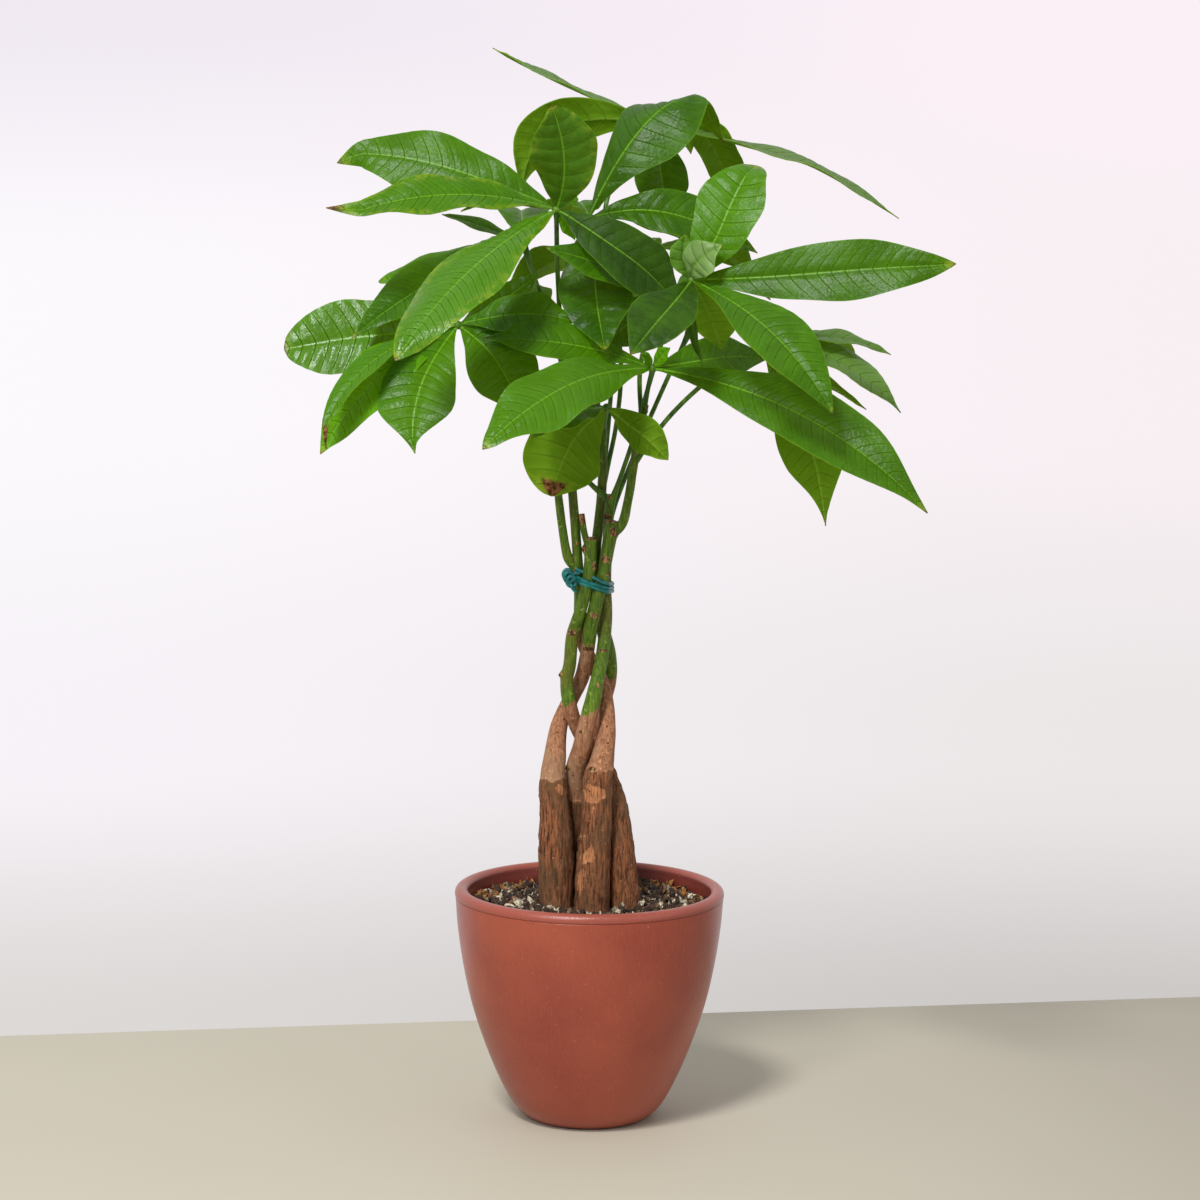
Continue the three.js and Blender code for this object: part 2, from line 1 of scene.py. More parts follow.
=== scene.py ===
# %% [markdown]
# # A potted money tree
#
# Five young stems are braided into one trunk and stand in a round terracotta-coloured pot. Above
# the braid each stem turns green and carries fronds: a long stalk with leaflets that spread
# from its end like fingers. The solid model gives every piece its place and size; this
# notebook dresses it. Lengths in the tables are millimetres, because that is how plants are
# measured on a bench, and `MM` turns them into Blender's metres.

# %% Load the solid model
import math
import random
from types import SimpleNamespace

import bpy
import numpy as np
from mathutils import Euler, Matrix, Vector, noise


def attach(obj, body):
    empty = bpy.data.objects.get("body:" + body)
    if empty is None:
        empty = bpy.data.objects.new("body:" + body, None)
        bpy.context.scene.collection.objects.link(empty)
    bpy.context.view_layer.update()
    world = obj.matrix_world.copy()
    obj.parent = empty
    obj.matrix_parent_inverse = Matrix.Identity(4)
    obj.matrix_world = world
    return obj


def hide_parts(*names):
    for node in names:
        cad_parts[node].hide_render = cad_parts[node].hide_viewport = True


MM = 0.001
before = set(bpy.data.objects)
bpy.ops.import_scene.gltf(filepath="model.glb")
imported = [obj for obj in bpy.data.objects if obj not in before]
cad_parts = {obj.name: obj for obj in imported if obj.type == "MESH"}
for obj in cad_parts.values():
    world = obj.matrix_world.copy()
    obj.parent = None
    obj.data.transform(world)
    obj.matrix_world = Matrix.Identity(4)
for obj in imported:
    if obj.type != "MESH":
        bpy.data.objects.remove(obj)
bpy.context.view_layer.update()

# %% [markdown]
# ## The camera
#
# The picture was taken a little above the leaves with a long lens, looking slightly down, so
# the pot's rim shows as a narrow ellipse. A 100 mm lens two metres away gives the same
# ellipse. The camera is also rolled by two thirds of a degree.

# %% Place the camera
CAMERA_PLACE = (0.0044, -2.0058, 0.5748)
CAMERA_PITCH = 82.76
CAMERA_ROLL = 0.65

camera_data = bpy.data.cameras.new("camera")
camera_data.lens = 100
camera_data.sensor_width = 36
camera = bpy.data.objects.new("camera", camera_data)
bpy.context.scene.collection.objects.link(camera)
camera.location = CAMERA_PLACE
pitch = Matrix.Rotation(math.radians(CAMERA_PITCH), 4, "X")
roll = Matrix.Rotation(math.radians(CAMERA_ROLL), 4, "Z")
camera.rotation_euler = (pitch @ roll).to_euler()
bpy.context.scene.camera = camera
bpy.context.scene.view_settings.view_transform = "Standard"
print("camera at", tuple(camera.location))

# %% [markdown]
# ## Small tools for building materials
#
# Every finish below is a network of shader nodes. These helpers add a node to the tree that was
# started last, link it and hand back its output, so that a finish reads like a recipe. Colours
# are written as they look on a screen, from 0 to 255, and `paint` turns them into the linear
# values that a shader takes.

# %% Helpers for shader nodes
def paint(red, green, blue):
    """A screen colour, 0 to 255, as a linear colour with alpha."""
    linear = [((c / 255 + 0.055) / 1.055) ** 2.4 if c > 10 else c / 255 / 12.92
              for c in (red, green, blue)]
    return (*linear, 1.0)


board = SimpleNamespace(tree=None)


def start_tree(owner):
    """Empties the node tree of a material or world and puts it on the board."""
    owner.use_nodes = True
    owner.node_tree.nodes.clear()
    board.tree = owner.node_tree
    return owner


def put(kind, inputs=None, **settings):
    """Adds one node to the tree on the board. Its inputs are values or other nodes' outputs."""
    made = board.tree.nodes.new("ShaderNode" + kind)
    for key, value in settings.items():
        setattr(made, key, value)
    for key, value in (inputs or {}).items():
        if isinstance(value, bpy.types.NodeSocket):
            board.tree.links.new(value, made.inputs[key])
        else:
            made.inputs[key].default_value = value
    return made


def calc(operation, first, second=0.0, third=0.0):
    return put("Math", {0: first, 1: second, 2: third}, operation=operation).outputs[0]


def times(first, second):
    return calc("MULTIPLY", first, second)


def scaled(value, factor, offset):
    """The value times the factor, plus the offset."""
    return calc("MULTIPLY_ADD", value, factor, offset)


def between(value, low, high, to_low=0.0, to_high=1.0):
    """A smooth step from to_low to to_high while value goes from low to high."""
    return put("MapRange", {"Value": value, "From Min": low, "From Max": high, "To Min": to_low,
                            "To Max": to_high}, interpolation_type="SMOOTHSTEP").outputs[0]


def blend(share, first, second):
    """Mixes two colours; share 1 gives the second."""
    return put("Mix", {0: share, 6: first, 7: second}, data_type="RGBA").outputs[2]


def layered(colour, *coats):
    """Lays coats over a colour, each up to its share as its value goes from low to high."""
    for coat, value, low, high, share in coats:
        colour = blend(between(value, low, high, 0, share), colour, coat)
    return colour


def attribute(name):
    return put("Attribute", attribute_name=name).outputs["Fac"]


def grain(scale, detail=3.0, stretch=(1, 1, 1), roughness=0.5):
    """Soft noise on Object coordinates; scale counts features in a metre."""
    place = put("TexCoord").outputs["Object"]
    place = put("Mapping", {"Vector": place, "Scale": stretch}).outputs[0]
    return put("TexNoise", {"Vector": place, "Scale": scale, "Detail": detail,
                            "Roughness": roughness}).outputs[0]


def surface(colour, roughness, specular=0.5, height=None, depth=0.0):
    """A surface; where height goes from 0 to 1 it seems to rise by depth, in metres."""
    inputs = {"Base Color": colour, "Roughness": roughness, "Specular IOR Level": specular}
    if height is not None:
        inputs["Normal"] = put("Bump", {"Height": height, "Distance": depth}).outputs[0]
    return put("BsdfPrincipled", inputs).outputs[0]


def finish(name, recipe, **values):
    """A material whose recipe puts nodes together and hands back the last one's output."""
    material = start_tree(bpy.data.materials.new(name))
    put("OutputMaterial", {"Surface": recipe(**values)})
    return material


print("shader helpers ready")

# %% [markdown]
# ## Leaf finishes
#
# A leaflet has two faces. The upper one is deep green and waxy, with a pale midrib and fine
# side veins; where the blade is shiny, painted shade darkens the side veins into creases. The
# lower one is a matt yellow-green. Light shines through both. They are one recipe with two
# palettes. The recipe reads what the mesh says about each point: how far it lies along the
# leaflet, how far from the midrib, which vein it is next to, how fresh, shiny, dull, yellow or
# burnt the blade is there, and how much painted sheen whitens it.

# %% Make the leaf finishes
DULL_GREEN = paint(52, 76, 30)
# A whitish grey-green for a painted sheen, as if the blade mirrored the bright backdrop.
SHEEN_GREEN = paint(142, 172, 104)
YELLOWED = paint(168, 180, 50)
# A near-black green for painted shade in the side-vein creases of shiny blades.
CREASE_SHADE = paint(8, 40, 2)
CHARRED = paint(62, 34, 14)
DRIED = paint(128, 88, 50)
SHINING_THROUGH = paint(206, 236, 50)


def leaf_recipe(deep, fresh, vein_colour, roughness, sheen, glow, vein_share):
    along, rib_mm, edge, vein, tone, shine, pale, dull, yellow, burn = (
        attribute(key) for key in
        ("along", "rib_mm", "edge", "vein", "tone", "shine", "pale", "dull", "yellow", "burn"))
    from_vein = calc("PINGPONG", vein, 0.5)
    from_midrib = calc("SUBTRACT", rib_mm, scaled(along, -0.45, 0.62))
    side_veins = times(between(from_vein, 0.0, 0.05, 1, 0),
                       between(edge, 0.45, 1.0, 1, 0.2))
    colour = layered(blend(tone, deep, fresh),
                     (fresh, grain(60, 4), 0.35, 0.7, 0.24),
                     (deep, from_vein, 0.05, 0.5, 0.2))
    colour = blend(times(dull, 0.55), colour, DULL_GREEN)
    # Painted sheen: where it is marked, the blade turns whitish grey-green, standing for the
    # backdrop's reflection.
    colour = blend(pale, colour, SHEEN_GREEN)
    colour = layered(colour, (vein_colour, grain(500, 2), 0.35, 0.7, 0.06))
    # Painted shade: on shiny blades the side veins are darkened as if their creases lay in shade.
    crease_shade = times(side_veins, scaled(shine, 0.3, vein_share))
    colour = blend(crease_shade, colour, blend(shine, vein_colour, CREASE_SHADE))
    colour = layered(colour,
                     (vein_colour, from_midrib, 0.25, -0.25, 0.8),
                     (vein_colour, edge, 0.96, 1.0, 0.3))
    yellowed = times(yellow, between(grain(190, 4), 0.42, 0.58))
    colour = blend(yellowed, colour, YELLOWED)
    burnt = layered(CHARRED, (DRIED, grain(300, 3), 0.4, 0.6, 1))
    colour = blend(burn, colour, burnt)
    height = calc("ADD", times(grain(500, 3), 0.5), times(side_veins, -0.9))
    matt = calc("MAXIMUM", dull, burn)
    gloss = scaled(grain(60, 3), 0.2, roughness - 0.1)
    gloss = scaled(matt, 0.22, scaled(shine, -0.06, gloss))
    shiny = times(scaled(shine, 0.36, sheen), scaled(matt, -0.5, 1))
    waxy = surface(colour, gloss, shiny, height, 0.0008)
    shining = blend(0.7, colour, SHINING_THROUGH)
    through = put("BsdfTranslucent", {"Color": shining}).outputs[0]
    clear = times(scaled(burn, -0.9, 1), glow)
    return put("MixShader", {0: clear, 1: waxy, 2: through}).outputs[0]


leaf_upper = finish("leaf_upper", leaf_recipe, deep=paint(12, 50, 0), fresh=paint(92, 156, 4),
                    vein_colour=paint(118, 172, 44), roughness=0.35, sheen=0.2, glow=0.32,
                    vein_share=0.22)
leaf_under = finish("leaf_under", leaf_recipe, deep=paint(92, 138, 16), fresh=paint(148, 188, 42),
                    vein_colour=paint(160, 196, 74), roughness=0.6, sheen=0.08, glow=0.55,
                    vein_share=0.3)
print("leaf finishes:", leaf_upper.name, leaf_under.name)

# %% [markdown]
# ## Stalk and bark finishes
#
# The stalks and the young shoots are plain green. The stems start as rough reddish-brown
# bark with long fibres and peeling flakes, turn into smooth tan bark higher up, and then,
# with a ragged edge, into green. The mesh says where each of these is, and noise makes the
# borders ragged. Leaf scars are brown knobs, and on two stems the old bark has peeled off in
# places and shows lighter wood: the mesh marks those too.

# %% Make the stalk and bark finishes
def stalk_recipe():
    fibres = grain(300, 3, (1, 1, 0.12))
    colour = layered(paint(46, 88, 12), (paint(92, 130, 32), fibres, 0.3, 0.7, 1))
    return surface(colour, 0.42, 0.3, fibres, 0.0002)


def ragged(mask, noise_value, depth):
    """A mask whose border is moved in and out by noise."""
    return scaled(calc("SUBTRACT", noise_value, 0.5), depth, mask)


def bark_recipe():
    old, bare, green, scar = (attribute(name) for name in ("old", "bare", "green", "scar"))
    fibres = grain(800, 5, (1, 1, 0.11), 0.66)
    flecks = grain(620, 5, (1, 1, 0.45), 0.7)
    flakes = grain(150, 6, (1, 1, 0.6), 0.65)
    patches = grain(46, 4, (1, 1, 0.6), 0.55)
    dots = grain(420, 1)
    rough = layered(paint(68, 39, 23),
                    (paint(154, 98, 63), fibres, 0.34, 0.62, 1),
                    (paint(206, 146, 106), flecks, 0.62, 0.67, 0.85),
                    (paint(40, 22, 14), flecks, 0.36, 0.3, 0.7),
                    (paint(100, 78, 54), patches, 0.44, 0.6, 0.5))
    wood = layered(paint(140, 84, 50),
                   (paint(192, 132, 88), fibres, 0.35, 0.6, 1),
                   (paint(206, 150, 106), flakes, 0.54, 0.6, 0.6))
    smooth = layered(paint(118, 76, 52),
                     (paint(178, 126, 92), fibres, 0.3, 0.7, 1),
                     (paint(156, 126, 98), patches, 0.5, 0.62, 0.5),
                     (paint(204, 160, 122), dots, 0.67, 0.7, 0.5),
                     (paint(92, 48, 30), dots, 0.3, 0.27, 1))
    skin = layered(paint(54, 84, 12),
                   (paint(104, 132, 32), fibres, 0.3, 0.7, 1),
                   (paint(156, 168, 90), dots, 0.66, 0.7, 0.6),
                   (paint(110, 96, 40), patches, 0.5, 0.64, 0.45))
    knob = layered(paint(78, 48, 26), (paint(178, 136, 90), flecks, 0.48, 0.6, 1))
    rough = layered(rough, (wood, ragged(bare, flakes, 1.5), 0.42, 0.5, 1))
    colour = layered(smooth,
                     (rough, ragged(old, flakes, 0.8), 0.42, 0.52, 1),
                     (skin, ragged(green, flakes, 1.3), 0.46, 0.54, 1),
                     (knob, ragged(scar, flecks, 1.4), 0.4, 0.6, 1))
    height = calc("ADD", fibres, times(flecks, 0.8))
    height = times(height, scaled(old, 0.8, 0.2))
    roughness = scaled(green, -0.34, 0.86)
    return surface(colour, roughness, 0.25, height, 0.0013)


green_stalk = finish("green_stalk", stalk_recipe)
bark = finish("money_tree_bark", bark_recipe)
print("stem finishes:", green_stalk.name, bark.name)

# %% [markdown]
# ## Pot, soil and tie finishes
#
# The pot is terracotta red with a satin shine. It has faint upright streaks from its making,
# cloudy patches and a few pale and dark specks. A painted reflection tints its lip pinkish grey,
# and painted shade darkens the inside wall above the soil. The potting mix
# is near black, with brown crumbs, white perlite and golden bark. The tie is a teal cord.

# %% Make the pot, soil and tie finishes
def pot_recipe():
    inside, lip = attribute("inside"), attribute("lip")
    streaks = grain(900, 3, (1, 1, 0.1))
    clouds = grain(14, 6)
    specks = grain(900, 0)
    colour = layered(paint(140, 58, 43),
                     (paint(160, 74, 52), clouds, 0.3, 0.72, 1),
                     (paint(172, 86, 54), streaks, 0.4, 0.7, 0.18))
    # Painted reflection: the lip is tinted pinkish grey, as if it mirrored the bright backdrop.
    colour = blend(times(lip, 0.45), colour, paint(146, 78, 70))
    # Painted shade: the inside wall above the soil is darkened, as the pot shades it.
    colour = blend(times(inside, 0.8), colour, paint(104, 40, 34))
    colour = layered(colour,
                     (paint(206, 140, 112), specks, 0.81, 0.84, 0.4),
                     (paint(84, 36, 28), specks, 0.2, 0.17, 0.6))
    height = calc("ADD", streaks, grain(1400, 2))
    roughness = scaled(clouds, 0.12, 0.27)
    return surface(colour, roughness, 0.5, height, 0.0001)


def crumb_recipe(dark, light, roughness, scale):
    fine = grain(scale, 4)
    colour = layered(dark,
                     (light, fine, 0.35, 0.65, 1),
                     (dark, grain(scale / 5, 2), 0.4, 0.7, 0.4))
    return surface(colour, roughness, 0.5, fine, 0.0006)


terracotta = finish("terracotta", pot_recipe)
dark_mix, brown_mix, perlite, bark_bit, tie_plastic = (
    finish(name, crumb_recipe, dark=dark, light=light, roughness=roughness, scale=scale)
    for name, dark, light, roughness, scale in [
        ("potting_mix", paint(26, 17, 11), paint(78, 56, 38), 0.9, 600),
        ("brown_crumbs", paint(58, 40, 26), paint(142, 108, 76), 0.9, 700),
        ("perlite", paint(122, 108, 84), paint(228, 218, 192), 0.8, 700),
        ("bark_bits", paint(78, 46, 18), paint(166, 112, 52), 0.8, 500),
        ("tie_plastic", paint(6, 92, 92), paint(24, 140, 136), 0.38, 260)])
print("other finishes:", terracotta.name, dark_mix.name, perlite.name, tie_plastic.name)

# %% [markdown]
# ## Small tools for modelling
#
# Blender's operators work on whatever is selected, so each step first clears the selection.
# A stem or stalk follows a smooth way through a few measured points. The curve used here is a
# centripetal Catmull-Rom curve, because it goes through every point and never loops, and it
# carries the radius along as a fourth number.

# %% Helpers for modelling
def add_piece(name, operator, **settings):
    """Adds one object by its operator, with nothing else selected."""
    bpy.ops.object.select_all(action="DESELECT")
    operator(**settings)
    piece = bpy.context.object
    piece.name = piece.data.name = name
    return piece


def select_only(*pieces):
    bpy.ops.object.select_all(action="DESELECT")
    for piece in pieces:
        piece.select_set(True)
    bpy.context.view_layer.objects.active = pieces[0]


def close_mesh():
    """Merges the active mesh's points that coincide and turns its faces outward."""
    bpy.ops.object.mode_set(mode="EDIT")
    bpy.ops.mesh.select_all(action="SELECT")
    bpy.ops.mesh.remove_doubles(threshold=1e-6)
    bpy.ops.mesh.normals_make_consistent(inside=False)
    bpy.ops.object.mode_set(mode="OBJECT")


def smooth_way(stations, step):
    """Points [x, y, z, radius] about one step apart on a smooth way through the stations."""
    known = np.array(stations, float)
    known = np.vstack([2 * known[0] - known[1], known, 2 * known[-1] - known[-2]])
    way = []
    for a, b, c, d in zip(known, known[1:], known[2:], known[3:]):
        before, here, after = (
            max(np.linalg.norm(q[:3] - p[:3]) ** 0.5, 1e-4) for p, q in ((a, b), (b, c), (c, d)))
        leave = ((b - a) / before - (c - a) / (before + here) + (c - b) / here) * here
        arrive = ((c - b) / here - (d - b) / (here + after) + (d - c) / after) * here
        count = max(1, round(float(np.linalg.norm(c[:3] - b[:3])) / step))
        for t in np.arange(count) / count:
            way.append(b + leave * t + (3 * (c - b) - 2 * leave - arrive) * t * t
                       + (2 * (b - c) + leave + arrive) * t ** 3)
    way.append(known[-2])
    return np.array(way)


def round_bar(name, way, sides):
    """A round bar along a way: a curve with a round bevel, turned into a mesh with closed ends."""
    bar = add_piece(name, bpy.ops.curve.primitive_nurbs_path_add)
    curve = bar.data
    curve.splines.clear()
    line = curve.splines.new("POLY")
    line.points.add(len(way) - 1)
    for point, (x, y, z, radius) in zip(line.points, way):
        point.co = (x * MM, y * MM, z * MM, 1)
        point.radius = radius
    curve.dimensions = "3D"
    curve.bevel_depth = MM
    curve.bevel_resolution = sides // 2 - 2
    curve.use_fill_caps = True
    bpy.ops.object.convert(target="MESH")
    close_mesh()
    return bpy.context.object


def read_points(piece):
    points = np.empty(len(piece.data.vertices) * 3)
    piece.data.vertices.foreach_get("co", points)
    return points.reshape(-1, 3)


def write_points(piece, points):
    piece.data.vertices.foreach_set("co", np.asarray(points, float).ravel())
    piece.data.update()


def mark(piece, **values):
    """Stores numbers for the finishes to read, one at each point of the mesh."""
    for name, numbers in values.items():
        made = piece.data.attributes.new(name, "FLOAT", "POINT")
        full = np.broadcast_to(np.asarray(numbers, np.float32), (len(piece.data.vertices),))
        made.data.foreach_set("value", np.ascontiguousarray(full))


def thicken(sheet, thickness, offset, lower_finish=0):
    """Makes a sheet solid. Its lower face and rim wear the finish in the slot lower_finish."""
    solid = sheet.modifiers.new("thickness", "SOLIDIFY")
    solid.thickness = thickness * MM
    solid.offset = offset
    solid.material_offset = solid.material_offset_rim = lower_finish
    select_only(sheet)
    bpy.ops.object.modifier_apply(modifier=solid.name)


def join_pieces(name, pieces):
    select_only(*pieces)
    bpy.ops.object.join()
    whole = bpy.context.object
    whole.name = whole.data.name = name
    return whole


def smooth_shade(piece, degrees):
    select_only(piece)
    bpy.ops.object.shade_smooth_by_angle(angle=math.radians(degrees))


def wear(piece, *materials):
    piece.data.materials.clear()
    for material in materials:
        piece.data.materials.append(material)


print("modelling helpers ready")

# %% [markdown]
# ## The pot
#
# A pot like this is turned, so its section is drawn once and spun round the axis. The
# section runs from the middle of the underside up the outside, over the thick rounded rim
# with its fine line below, and down the inside to the floor.

# %% Spin the pot
# The section's points are (radius, height).
POT_OUTSIDE = [(32, 0), (36.5, 0.5), (40.5, 2.6), (46, 8.3), (51.9, 18.4), (60.8, 38.5),
               (71.2, 68.7), (77, 94), (80.7, 119), (81.9, 133.8)]
POT_INSIDE = [(73.9, 136.5), (72.9, 126), (70.6, 94), (64.6, 68.7), (54.2, 38.5), (44, 18.4),
              (36, 9)]
GROOVE_HEIGHT = 137.3
GROOVE = [(82.1, 136.9), (81.75, GROOVE_HEIGHT), (82.2, 137.7)]
POT_HEIGHT = 143
RIM_RADIUS = 82.5
LIP_WIDTH = 8.2
LIP_FLATNESS = 0.93
LIP_ANGLES = np.linspace(-0.25, math.pi + 0.1, 17)
LIP_INSIDE = RIM_RADIUS - LIP_WIDTH + 0.5
SHADED_FROM = 110
POT_TURNS = 160


def pot_section():
    wall = smooth_way([(r, 0, z, 0) for r, z in POT_OUTSIDE], 2.5)
    section = [(0, 0)] + [(r, z) for r, _, z, _ in wall] + GROOVE
    wide = LIP_WIDTH / 2
    for angle in LIP_ANGLES:
        tall = wide * (LIP_FLATNESS if math.sin(angle) > 0 else 1)
        section.append((RIM_RADIUS - wide + wide * math.cos(angle),
                        POT_HEIGHT - tall + tall * math.sin(angle)))
    inner = smooth_way([(r, 0, z, 0) for r, z in POT_INSIDE], 4)
    return section + [(r, z) for r, _, z, _ in inner] + [(0, POT_INSIDE[-1][1])]


def spin_pot():
    pot = add_piece("round_pot", bpy.ops.mesh.primitive_plane_add, size=1)
    section = pot_section()
    pot.data.clear_geometry()
    pot.data.from_pydata([(r * MM, 0, z * MM) for r, z in section],
                         [(i, i + 1) for i in range(len(section) - 1)], [])
    bpy.ops.object.mode_set(mode="EDIT")
    bpy.ops.mesh.select_all(action="SELECT")
    bpy.ops.mesh.spin(steps=POT_TURNS, angle=2 * math.pi, center=(0, 0, 0), axis=(0, 0, 1))
    bpy.ops.object.mode_set(mode="OBJECT")
    close_mesh()
    return pot


pot = spin_pot()
pot_points = read_points(pot) / MM
pot_reach = np.hypot(pot_points[:, 0], pot_points[:, 1])
pot_level = pot_points[:, 2]
# The marks: painted shade on the inside wall above the soil, and a painted reflection on the lip.
mark(pot, inside=(pot_reach < LIP_INSIDE) & (pot_level > SHADED_FROM),
     lip=(pot_level > GROOVE_HEIGHT) & (pot_reach > LIP_INSIDE))
wear(pot, terracotta)
smooth_shade(pot, 40)
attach(pot, "root")
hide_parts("pot")
print("pot:", len(pot.data.polygons), "faces")

# %% [markdown]
# ## The potting mix
#
# The solid soil stays as the mass in the pot. A thin crumbly bed lies on it, and on that lie
# loose crumbs: dark and brown ones, pale perlite, and golden bark bits mostly at the back. Each
# kind starts as one small ball that is dented, and is then copied with its own turn and size.

# %% Lay the crumbly bed
SOIL_TOP = 131
SOIL_EDGE = 72.6
BED_RISE = 0.6
BED_THICKNESS = 4
LUMPS = [(9, 1.6), (3.2, 1.1), (1.3, 0.5)]


def lay_bed():
    """A disc with three sizes of lumps, each (width, height), that fade out at its edge."""
    bed = add_piece("soil_bed", bpy.ops.mesh.primitive_circle_add, vertices=120,
                    radius=SOIL_EDGE * MM, fill_type="TRIFAN")
    bpy.ops.object.mode_set(mode="EDIT")
    bpy.ops.mesh.select_all(action="SELECT")
    for _ in range(4):
        bpy.ops.mesh.subdivide(number_cuts=1)
    bpy.ops.object.mode_set(mode="OBJECT")
    points = read_points(bed)
    for point in points:
        spot = Vector((point[0], point[1], 0)) / MM
        reach = spot.length / SOIL_EDGE
        lumps = sum(noise.noise(spot / width) * height for width, height in LUMPS)
        point[2] = (SOIL_TOP + BED_RISE + lumps * (1 - reach ** 8)) * MM
    write_points(bed, points)
    return bed


bed = lay_bed()
thicken(bed, BED_THICKNESS, -1)
wear(bed, dark_mix)
smooth_shade(bed, 35)
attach(bed, "root")
wear(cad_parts["soil"], dark_mix)
print("bed:", len(bed.data.polygons), "faces")

# %% Scatter the crumbs
DENTS_PER_METRE = 1400
CRUMB_RISE = 0.8
WALL_GAP = 1.5
TRUNK_REACH = 27


def dented_ball(fineness, depth, shape, seed):
    """One crumb about 1 mm in radius, dented by noise and squeezed to its shape."""
    ball = add_piece("crumb", bpy.ops.mesh.primitive_ico_sphere_add, subdivisions=fineness,
                     radius=MM)
    points = read_points(ball)
    for i, point in enumerate(points):
        spot = Vector(point) * DENTS_PER_METRE + Vector((seed, 0, 0))
        points[i] = point * (1 + depth * noise.noise(spot)) * np.array(shape)
    write_points(ball, points)
    return ball


def scatter(name, model, count, sizes, material, seed, where):
    """Copies a crumb to random places of the soil for which where(x, y, chance) is true."""
    draw = random.Random(seed)
    copies = []
    while len(copies) < count:
        reach = (SOIL_EDGE - WALL_GAP) * math.sqrt(draw.random())
        around = draw.uniform(0, 2 * math.pi)
        x, y = reach * math.cos(around), reach * math.sin(around)
        size = draw.uniform(*sizes)
        turn = [draw.uniform(0, 2 * math.pi) for _ in range(3)]
        lift = draw.uniform(0.1, 0.9)
        if not where(x, y, draw.random()):
            continue
        crumb = bpy.data.objects.new(name, model.data.copy())
        bpy.context.scene.collection.objects.link(crumb)
        place = Vector((x, y, SOIL_TOP + CRUMB_RISE + lift * size)) * MM
        crumb.data.transform(Matrix.LocRotScale(place, Euler(turn, "ZYX"), Vector([size] * 3)))
        copies.append(crumb)
    bpy.data.objects.remove(model)
    whole = join_pieces(name, copies)
    wear(whole, material)
    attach(whole, "root")
    print(name, count, "crumbs,", len(whole.data.polygons), "faces")


def outside_trunk(x, y, _):
    return math.hypot(x, (y - 2) * 0.9) > TRUNK_REACH


def near_wall(x, y, chance):
    reach = math.hypot(x, y) / SOIL_EDGE
    return chance < reach ** 6 * (1.0 if y > -10 else 0.35)


def on_open_soil(x, y, chance):
    reach = math.hypot(x, y) / SOIL_EDGE
    return outside_trunk(x, y, chance) and chance < 1.25 - reach ** 4


# Name, the ball's fineness, dents, shape and seed, count, sizes, finish, seed and places.
CRUMBS = [
    ("dark_crumbs", (1, 0.9, (1.2, 0.9, 0.7), 3), 620, (1.1, 3.0), dark_mix, 11, outside_trunk),
    ("brown_crumbs", (1, 0.9, (1.4, 0.9, 0.6), 6), 260, (0.9, 2.2), brown_mix, 14, outside_trunk),
    ("perlite_grains", (2, 0.9, (1.4, 0.9, 0.6), 8), 190, (0.8, 2.6), perlite, 12, on_open_soil),
    ("bark_chips", (1, 0.8, (1.8, 0.9, 0.35), 5), 240, (1.3, 3.0), bark_bit, 13, near_wall)]
for name, ball, *rest in CRUMBS:
    scatter(name, dented_ball(*ball), *rest)

# %% [markdown]
# ## The braided stems
#
# Each stem is a round bar along its way through the braid. Bars alone would look like hoses, so
# every ring of points is then pushed in and out: long ridges and flakes on the old bark, which
# ends in a ragged ledge, gentle waves higher up, and a knob at each leaf scar. The mesh also
# records where the bark is old, peeled or green and where the scars are.

